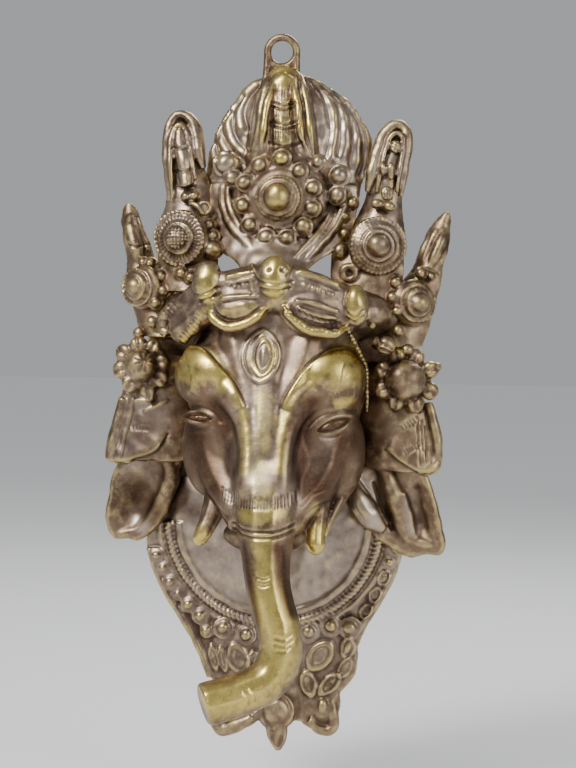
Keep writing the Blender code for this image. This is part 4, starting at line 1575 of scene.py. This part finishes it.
# %% Collar: leaves and the teeth of the rope
LEAVES = (
    ((-40.2, -425.8), 3.2, 10, -14),
    ((-33.7, -427), 3.4, 10, -14),
    ((-22.3, -425.8), 8, 12, -24),
    ((-8, -431.5), 7, 13, -20),
    ((35.7, -421.2), 8.4, 13, 36),
    ((55.2, -415), 5.4, 8.4, 10),
    ((53.4, -429.1), 4.6, 9, 30),
    ((43.1, -440.8), 5.4, 11, 44),
    ((27.5, -441.5), 6, 10, -16),
    ((79.3, -365.1), 4.2, 6.2, 30),
    ((73.3, -377.2), 4.2, 6.2, 32),
    ((67.2, -388.7), 4.2, 6.2, 34),
)
for (x, z), wide, tall, tilt in LEAVES:
    terrace(collar, almond(x, z, wide, tall, tilt=tilt), 1.9, 1.6, deepest=3)
    vein = almond(x, z, 0.55 * wide, 0.6 * tall, tilt=tilt)
    chisel(collar, (vein + vein[:1],), 0.7, 0.8, deepest=3)
TEETH = 66
teeth = []
for i in range(TEETH):
    angle = 183 + 174 * i / (TEETH - 1)
    inner = round_the_rope(angle - 1, 0.945, 0)[:2]
    outer = round_the_rope(angle + 1, 1.03, 0)[:2]
    teeth.append((inner, outer))
chisel(collar, teeth, 0.7, 0.6, deepest=3, steps=1)
print("collar:", len(collar.data.polygons), "faces")

# %% [markdown]
# ## The hanging loop
# The plaque hangs on a nail by this ring at the top. Its two legs run down into the hood. A bent
# rod would do as well as a torus with two rolls under it, but the torus keeps the hole truly round.

# %% Loop
LOOP_HOLE = 15
LOOP_ROD = 5.5
loop_middle = (LOOP_HOLE + LOOP_ROD) / 2
shapes = [hoop(0, 0, 4.5, loop_middle, LOOP_ROD / 2, count=64)]
for side in (-1, 1):
    leg = ((loop_middle * 0.98, -2, 4.5), (loop_middle, -10, 5), (loop_middle + 0.5, -20, 6))
    shapes.append(roll([(side * out, z, depth, LOOP_ROD / 2) for out, z, depth in leg]))
shapes.append(egg(0.5, -15, 4.5, 9, 7, 3.6))
loop = press("loop", shapes, 0.7, 2)
print("loop:", len(loop.data.polygons), "faces")

# %% [markdown]
# ## Patinated cast brass, with painted light and shade
# The metal has five tones: a brown skin of age, a nearly black grime in the hollows that is painted
# shade as well, warm yellow metal where it was rubbed, silvery metal where it is bare but dull, and
# reddish patches where polish ate the brown off the cheeks. Some of the yellow is a painted highlight
# on ridges, bridge and trunk, the dark reddish tone is also painted shade on the sides of face and
# trunk, round the eyes and in the ears, and paler edges are wear and painted highlight at once. They
# could be painted on a picture, but that shows its pixels close up and needs the skin unwrapped. Here
# noise in real millimetres breaks the tones up, and the numbers kept on the skin say where each belongs.

# %% Material: colours and nodes


def colour(code):
    """A colour written as RRGGBB, in the linear values that the shader takes."""
    linear = []
    for i in (0, 2, 4):
        share = int(code[i : i + 2], 16) / 255
        linear.append(share / 12.92 if share < 0.04045 else ((share + 0.055) / 1.055) ** 2.4)
    return (*linear, 1)


# The nodes used here: Blender's name, its settings, the inputs in the order in which their values are
# given, and the output. A "sum" is the first value plus the second times the third.
NODES = {
    "place": ("ShaderNodeTexCoord", {}, (), "Object"),
    "number": ("ShaderNodeAttribute", {}, (), "Fac"),
    "noise": ("ShaderNodeTexNoise", {}, ("Vector", "Scale", "Detail", "Roughness"), "Fac"),
    "range": ("ShaderNodeMapRange", {}, ("Value", "From Min", "From Max", "To Min", "To Max"), "Result"),
    "sum": ("ShaderNodeMath", {"operation": "MULTIPLY_ADD"}, (2, 0, 1), "Value"),
    "mix": ("ShaderNodeMix", {"data_type": "RGBA"}, ("Factor", "A", "B"), "Result"),
    "bump": ("ShaderNodeBump", {}, ("Height", "Strength", "Distance"), "Normal"),
}


def add(nodes, kind, *values, **more_settings):
    """Adds a node and gives its output. A value is a number, a colour or a socket to be joined."""
    node_type, settings, inputs, output = NODES[kind]
    node = nodes.new(node_type)
    for setting, value in {**settings, **more_settings}.items():
        setattr(node, setting, value)
    for key, value in zip(inputs, values):
        if isinstance(value, bpy.types.NodeSocket):
            nodes.id_data.links.new(value, node.inputs[key])
        else:
            node.inputs[key].default_value = value
    return node.outputs[output]


# %% Material: patinated brass with painted light and shade


def patinated_brass():
    """Cast brass, aged brown, rubbed, and with painted light and shade, whose tones follow the skin's
    numbers.
    """
    material = bpy.data.materials.new("patinated_brass")
    material.use_nodes = True
    nodes = material.node_tree.nodes
    shader = nodes["Principled BSDF"]
    links = material.node_tree.links

    spot = add(nodes, "place")
    fine = add(nodes, "number", attribute_name="fine_wear_and_shade")
    broad = add(nodes, "number", attribute_name="broad_grime_and_shade")
    polish_and_highlight = add(nodes, "number", attribute_name="polish_and_highlight")
    rust_and_shade = add(nodes, "number", attribute_name="rust_and_shade")
    silver = add(nodes, "number", attribute_name="silver")

    # Clouds as wide as a cheek, mottle as wide as a bead, and specks of a millimetre and a half.
    clouds = add(nodes, "noise", spot, 1 / (38 * MM), 4, 0.6)
    mottle = add(nodes, "noise", spot, 1 / (7 * MM), 5, 0.65)
    specks = add(nodes, "noise", spot, 1 / (1.6 * MM), 3, 0.6)
    ragged = add(nodes, "range", mottle, 0.3, 0.7)

    # The brown skin of age lies in clouds, with a paler bloom on it: the eye reads it as old.
    cloudy = add(nodes, "range", clouds, 0.38, 0.66)
    brown = add(nodes, "mix", cloudy, colour("8a735d"), colour("5f4a3b"))
    bloom = add(nodes, "range", mottle, 0.45, 0.75, 0, 0.6)
    tone = add(nodes, "mix", bloom, brown, colour("a8977f"))

    # Paler edges, worn metal and a painted highlight at once, make every bead and ridge read from afar.
    edges = add(nodes, "sum", fine, mottle, 0.5)
    edges = add(nodes, "range", edges, 0.4, 1.2, 0, 0.55)
    tone = add(nodes, "mix", edges, tone, colour("bfae8e"))

    # Dull silvery metal on chest, trunk and leaves keeps the brown from being one flat coat.
    bare = add(nodes, "sum", silver, ragged, 0.35)
    bare = add(nodes, "range", bare, 0.2, 1.1)
    dull = add(nodes, "range", clouds, 0.4, 0.6)
    dull = add(nodes, "mix", dull, colour("b5a596"), colour("93847a"))
    tone = add(nodes, "mix", bare, tone, dull)

    # Yellow metal shows where a cloth went, most on what stands out. It draws the eye to the relief.
    # On the brow ridges, the bridge and the upper trunk's middle it is a painted highlight.
    rubbed_and_highlit = add(nodes, "sum", polish_and_highlight, ragged, 0.5)
    rubbed_and_highlit = add(nodes, "sum", rubbed_and_highlit, fine, 0.35)
    rubbed_and_highlit = add(nodes, "range", rubbed_and_highlit, 0.42, 1.1)
    gold_and_highlight = add(nodes, "range", specks, 0.35, 0.7, 0, 0.5)
    gold_and_highlight = add(nodes, "mix", gold_and_highlight, colour("d9c270"), colour("b59a4e"))
    tone = add(nodes, "mix", rubbed_and_highlit, tone, gold_and_highlight)

    # Dark reddish patches with ragged edges set off the bright tusks and brows. They are reddish brown
    # on the cheeks and painted shade on the sides of face and trunk, round the eyes and in the ears.
    patches_and_shade = add(nodes, "sum", rust_and_shade, mottle, 0.9)
    patches_and_shade = add(nodes, "sum", patches_and_shade, clouds, 0.7)
    patches_and_shade = add(nodes, "range", patches_and_shade, 1.15, 1.75, 0, 0.85)
    reddish_and_shade = add(nodes, "range", specks, 0.4, 0.6)
    reddish_and_shade = add(nodes, "mix", reddish_and_shade, colour("54382a"), colour("3d291f"))
    tone = add(nodes, "mix", patches_and_shade, tone, reddish_and_shade)

    # Grime and painted shade in the hollows come last, as they lie on everything. They give the lines
    # their depth.
    grime_and_shade = add(nodes, "sum", fine, broad, 0.5)
    grime_and_shade = add(nodes, "range", grime_and_shade, -0.2, -1.4, 0, 0.78)
    tone = add(nodes, "mix", grime_and_shade, tone, colour("35271f"))

    # What was rubbed shines, brown is satin and grime is matt, so the light breaks up over the metal.
    worn = add(nodes, "sum", rubbed_and_highlit, bare, 0.7)
    shine = add(nodes, "range", worn, 0, 1, 0.41, 0.27)
    unevenness = add(nodes, "range", mottle, 0.3, 0.7, -0.05, 0.09)
    roughness = add(nodes, "sum", shine, unevenness, 1)
    roughness = add(nodes, "sum", roughness, grime_and_shade, 0.25)

    # A cast skin is slightly pitted, by a fraction of half a millimetre.
    pits = add(nodes, "range", mottle, 0, 1, 0, 0.6)
    pits = add(nodes, "sum", pits, specks, 0.25)
    normal = add(nodes, "bump", pits, 0.35, 0.5 * MM)

    links.new(tone, shader.inputs["Base Color"])
    links.new(roughness, shader.inputs["Roughness"])
    links.new(normal, shader.inputs["Normal"])
    shader.inputs["Metallic"].default_value = 1
    print("patinated brass:", len(nodes), "nodes")
    return material


BRASS = patinated_brass()

# %% [markdown]
# ## The hollow and the flat back
# Behind the face the casting is open to the wall and follows the face at a wall's distance. The
# Solidify modifier would give walls too, but it would also copy every bead to the inside. A real
# mould has a plain core there, so the head's masses are laid once more, smaller, and cut out.

# %% Hollow and flat back
WALL = 5.5


def hollow():
    """The space inside the head: its masses again, less the wall, and open to the wall side."""
    lumps = [egg(*lump[:3], *(half - WALL for half in lump[3:]), rings=24) for lump in SKULL]
    lumps.append(egg(4, -232, 0, 58 - WALL, 80 - WALL, 34 - WALL, rings=24))
    return press("hollow", lumps, 1.4, 4)


made = [head, headband, leaves_left, leaves_right, crown, ear_left, ear_right, collar, loop]
for piece in made:
    if piece in (head, headband, collar):
        cut(piece, hollow())
    flat_back(piece)
print("hollow cut from three pieces,", len(made), "backs cut flat")

# %% [markdown]
# ## Where the metal was rubbed, reddened or bared, and where light and shade are painted
# Each stroke below is a line as the viewer sees it, its width in millimetres and its strength, and
# for some the depth behind which it doesn't reach. They follow the photo: a cloth has gone over
# brows, tusks, trunk and beads, the cheeks are reddish, and chest and forehead are silvery. Some
# strokes are painted light and shade instead: highlights on the brow ridges, the bridge and the
# trunk's middle, and shade on the sides of cheeks and trunk, round the eyes, in the ears' hollows
# and on the collar under the cheeks.

# %% Rubbed metal and painted highlights
POLISHED_AND_HIGHLIT = {
    head: (
        (((-57, -212.3), (-45.5, -213.2), (-33.3, -219.6), (-24.3, -228)), 7.5, 1.0),
        (((-55.4, -223.2), (-42.5, -225.3)), 8, 0.7),
        (((62.7, -209.7), (54.3, -209.7), (42.5, -215.8), (31.1, -224.6)), 8, 1.0),
        (((60.9, -220.5), (51.2, -221.8)), 10, 0.7),
        (((58.6, -240.8), (51.4, -242)), 4, 0.8),
        # These strokes down the brow ridges and the bridge's middle are painted highlights.
        (((-24.3, -228), (-13.9, -240.3), (-7.5, -259.9), (-5.7, -286.3)), 4.5, 0.62),
        (((31.1, -224.6), (21.3, -236.7), (15.6, -259.2), (16.4, -285.6)), 4.5, 0.62),
        (((2.3, -239.9), (5.5, -305.4)), 9, 0.5),
        (((-5.5, -315), (6.2, -315.7), (16.5, -314.3)), 5, 0.8),
        # A painted highlight down the middle of the upper trunk.
        (((7.6, -332.8), (9.7, -350.2), (15, -369.4)), 6.5, 0.85),
        (((11.7, -369.6), (21.4, -395.5), (19.4, -411.7), (3.5, -427.8), (-17.9, -433.5)), 13, 0.95),
        (((-38.8, -332.7), (-41.5, -338.9)), 5.5, 1.0),
        (((39.3, -331), (39.2, -341)), 8, 1.0),
        (((38.6, -310.2), (38.7, -326.7)), 4, 0.4),
        (((0.9, -200), (9.2, -209.2), (2, -224), (-8.3, -212.2)), 2.5, 0.68),
    ),
    headband: (
        (((9.2, -150.7), (9.3, -167.9)), 8.5, 0.78, 74),
        (((-37.2, -157.9), (-36.9, -172.6)), 7, 0.78, 64),
        (((62, -168.2), (62.3, -182.1)), 6.5, 0.72, 60),
        ([knot[:2] for knot in LEFT_RIM], 3, 0.75),
        ([knot[:2] for knot in RIGHT_RIM], 3, 0.68),
        ([knot[:2] for knot in RIBBED], 4, 0.5, 30),
        (((-24.5, -182.5), (-4, -180.8)), 6, 0.45),
        (((-23.7, -158.3), (-7.7, -154.4)), 2.4, 0.5),
        (((26.3, -153.9), (49.3, -162.1)), 2.4, 0.3),
    ),
    crown: (
        (((2, -12), (3, -20)), 9, 0.8),
        (((-9.3, -27.8), (-11.3, -40.6), (-12.4, -57.5)), 3, 0.42),
        (((-4.6, -29.5), (-7.3, -40.9), (-9.2, -63.1)), 3, 0.5),
        (((12.1, -29.4), (14.9, -40.7), (18.6, -62.9)), 3, 0.5),
        (((17.9, -27.7), (20.8, -40.4), (24.5, -62.7)), 3, 0.42),
        (((4, -29.6), (5.7, -49.2), (7.3, -70.1)), 5, 0.3),
        (((5.1, -99.6), (5.2, -106.4)), 8, 0.5),
        (((5.2, -76), (4.8, -77)), 4, 0.7),
    ),
}
print("rubbed:", sum(len(strokes) for strokes in POLISHED_AND_HIGHLIT.values()), "strokes")

# %% Reddish patches and painted shade
RUSTY_AND_SHADED = {
    head: (
        # Reddish brown and painted shade on the cheeks and beside the bridge. The rest is painted shade:
        # between the brows, on the trunk's sides, round the eyes and inside the trunk's curl.
        (((-46, -265.8), (-39.5, -282.6), (-31.2, -298.9)), 17, 0.95),
        (((-30, -244.3), (-23.7, -260.8), (-19.1, -287.2)), 10, 1.0),
        (((55.7, -266.5), (46.5, -279.8), (38.1, -296.5)), 17, 0.95),
        (((34.8, -240.7), (29.7, -259.4), (27.4, -289.2)), 9, 0.95),
        (((2, -240), (2.4, -247.9)), 9, 0.4),
        (((-6.6, -335.7), (-2.4, -355.1), (3.7, -377.8), (4.7, -397.7)), 5, 1.0),
        (((17.5, -336.8), (23, -357.5), (29, -378.2)), 6.5, 1.0),
        (((-51.7, -253.1), (-44.2, -253.8), (-36.1, -254.5)), 6, 1.0),
        (((40.8, -259.5), (48.4, -256.8), (56.6, -254.1)), 6, 1.0),
        (((-22.7, -240.7), (-23.8, -254.1)), 8, 0.7),
        (((28.6, -239.4), (30.2, -252.7)), 8, 0.7),
        (((-21.4, -410.4), (-1.3, -417.5)), 5, 0.5),
    ),
    collar: (
        # Painted shade on the collar under the cheeks.
        (((-67.9, -301), (-61.9, -318.5), (-54.6, -323.3)), 11, 0.9),
        (((50, -301.7), (44.6, -315.2)), 9, 0.8),
    ),
    # Reddish brown and painted shade in the ears' hollows.
    ear_left: ((((-86, -262), (-90, -280)), 16, 0.6), (((-95, -310), (-84, -325)), 14, 0.8)),
    ear_right: ((((90, -262), (92, -280)), 14, 0.4), (((95, -310), (90, -330)), 14, 0.5)),
}
print("reddish:", sum(len(strokes) for strokes in RUSTY_AND_SHADED.values()), "strokes")

# %% Silvery metal
SILVERED = {
    head: (
        (((0.6, -198.7), (2, -240)), 22, 0.4),
        # With the gold stroke over it, this silvery stroke down the bridge is a painted highlight.
        (((2.7, -246.4), (5.5, -305.4)), 10, 0.8),
        (((-20.5, -267.3), (-16.2, -307)), 6, 0.4),
        (((25.4, -266), (25.5, -305.7)), 6, 0.4),
        (((46.4, -266.3), (41.3, -286.7)), 7, 0.6),
    ),
    headband: ((((-50, -172), (60, -172)), 34, 0.35),),
    ear_left: ((((-86, -250), (-100, -282)), 18, 0.5), (((-95.5, -330.7), (-93.3, -333.5)), 6, 0.9)),
    leaves_left: ((((-66, -70), (-62, -120)), 22, 0.45),),
    leaves_right: ((((78, -80), (74, -120)), 22, 0.45),),
    ear_right: ((((63.1, -301.2), (73.1, -323.2)), 9, 1.0), (((95.9, -309), (100.4, -329.8)), 4, 0.8)),
    collar: (((ROPE[:2], (2, -328)), 90, 1.0),),
    crown: (
        (((40, -50), (50, -85)), 24, 0.8),
        (((-30, -45), (-42, -85)), 20, 0.7),
        (((-30, -140), (40, -140)), 16, 0.5),
    ),
}
print("silvery:", sum(len(strokes) for strokes in SILVERED.values()), "strokes")

# %% [markdown]
# The ornament was kneaded by hand and is nowhere quite even, so it gets soft waves. Then the wear and
# the hollows are measured, and wear, painted highlights and painted shade are laid on. The head needed
# a fine skin while the tools cut it. Decimate thins it only now, when its lines are in the shape and
# its wear and painted light are on the points, to spare the viewer's memory.

# %% Wear, painted light and shade, and material on every piece
ORNAMENT_SHEEN = 0.12
HEAD_SHARE = 0.68
for piece in (headband, leaves_left, leaves_right, crown, ear_left, ear_right, collar):
    knead(piece, 8, 0.7)
for piece in made:
    measure_wear_and_shade(piece)
    paint_strokes(piece, "polish_and_highlight", POLISHED_AND_HIGHLIT.get(piece, ()), 0 if piece is head else ORNAMENT_SHEEN)
    paint_strokes(piece, "rust_and_shade", RUSTY_AND_SHADED.get(piece, ()))
    paint_strokes(piece, "silver", SILVERED.get(piece, ()))
    if piece is head:
        apply_modifier(piece, "DECIMATE", ratio=HEAD_SHARE)
    piece.data.materials.clear()
    piece.data.materials.append(BRASS)
    select_only(piece)
    bpy.ops.object.shade_smooth()
    print(piece.name, len(piece.data.polygons), "faces")

# %% [markdown]
# ## Floor
# The plaque hangs, but it is shown without a wall so that its back can be seen too. A pale matt floor
# lies a little below the drop, wide enough to fill the lower view and to throw soft light up. A
# backdrop that curves up would hide the horizon, but would also block the view from behind.

# %% Floor


def pale(name, grey, roughness):
    """A plain grey material, given as the share of the light that it throws back."""
    material = bpy.data.materials.new(name)
    material.use_nodes = True
    shader = material.node_tree.nodes["Principled BSDF"]
    shader.inputs["Base Color"].default_value = (grey, grey, grey, 1)
    shader.inputs["Roughness"].default_value = roughness
    return material


bpy.ops.mesh.primitive_circle_add(vertices=64, radius=9, fill_type="NGON", location=(0, 0, -0.53))
floor = bpy.context.object
floor.name = "floor"
floor.data.materials.append(pale("pale_floor", 0.8, 0.9))
print("floor:", [round(side, 2) for side in floor.dimensions], "m")

# %% [markdown]
# ## Camera
# The camera looks from where the photo was taken: a little from the right and from above, 1.5 m away
# and tilted by a degree. It is set off sideways, not turned, so that the loop's hole falls on the
# pixel where the photo shows it, "aim". Turning the camera at the loop would change the perspective.

# %% Camera
CAMERA = dict(turn=8.0, rise=2.0, roll=-1.1, distance=1500 * MM, pixels=(288, 384), aim=(283, 53))
MM_PER_PIXEL = 0.70
turn, rise, tilt = (radians(CAMERA[key]) for key in ("turn", "rise", "roll"))
back = Vector((sin(turn) * cos(rise), -cos(turn) * cos(rise), sin(rise)))
right = Vector((cos(turn), sin(turn), 0))
up = back.cross(right)
up, right = up * cos(tilt) + right * sin(tilt), right * cos(tilt) - up * sin(tilt)
focal_pixels = CAMERA["distance"] / (MM_PER_PIXEL * MM)
offset_x = (CAMERA["aim"][0] - CAMERA["pixels"][0]) / focal_pixels
offset_z = (CAMERA["pixels"][1] - CAMERA["aim"][1]) / focal_pixels
to_loop = (-back + right * offset_x + up * offset_z) * CAMERA["distance"]
turned = Matrix((right, up, back)).transposed().to_4x4()
camera = bpy.data.objects.new("camera", bpy.data.cameras.new("camera"))
bpy.context.scene.collection.objects.link(camera)
camera.matrix_world = Matrix.Translation(-to_loop) @ turned
SENSOR_MM = 36
camera.data.lens = SENSOR_MM * focal_pixels / (2 * max(CAMERA["pixels"]))
bpy.context.scene.camera = camera
print("lens:", round(camera.data.lens, 1), "mm")

# %% [markdown]
# ## Light
# Metal shows what it reflects, so the lamps are large and soft: a bright one from the upper left, a
# weak one from the right to open the shadows, and one behind to draw the outline. One small lamp
# would give hard glints on every bead. A weak sun and a grey world keep the hollows readable.

# %% Light


def soft_light(name, location, size, power, target=(0, -0.05, -0.24)):
    """A round lamp of this width in metres and power in watts that looks at the plaque's middle."""
    light = bpy.data.lights.new(name, "AREA")
    light.shape = "DISK"
    light.size = size
    light.energy = power
    lamp = bpy.data.objects.new(name, light)
    bpy.context.scene.collection.objects.link(lamp)
    lamp.location = location
    lamp.rotation_euler = (Vector(location) - Vector(target)).to_track_quat("Z", "Y").to_euler()


soft_light("key", (-0.9, -1.4, 1.1), 0.6, 42)
soft_light("fill", (1.5, -1.2, 0.3), 1.0, 12)
soft_light("rim", (0.3, 1.0, 0.9), 0.8, 14)
sun = bpy.data.lights.new("overall", "SUN")
sun.energy = 0.6
sun.angle = 0.8
overall = bpy.data.objects.new("overall", sun)
overall.rotation_euler = (radians(45), 0, radians(-30))
bpy.context.scene.collection.objects.link(overall)
world = bpy.data.worlds.new("studio")
world.use_nodes = True
world.node_tree.nodes["Background"].inputs["Color"].default_value = (0.38, 0.39, 0.4, 1)
bpy.context.scene.world = world
print("lamps:", [data.name for data in bpy.data.lights])

# %% [markdown]
# ## Ride and replace
# Every piece rides on the plaque's one body and stands in for its one solid, so that the model
# shows the relief and not the plain form under it.

# %% Finish
for piece in made:
    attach(piece, "root")
    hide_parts(SOLID)
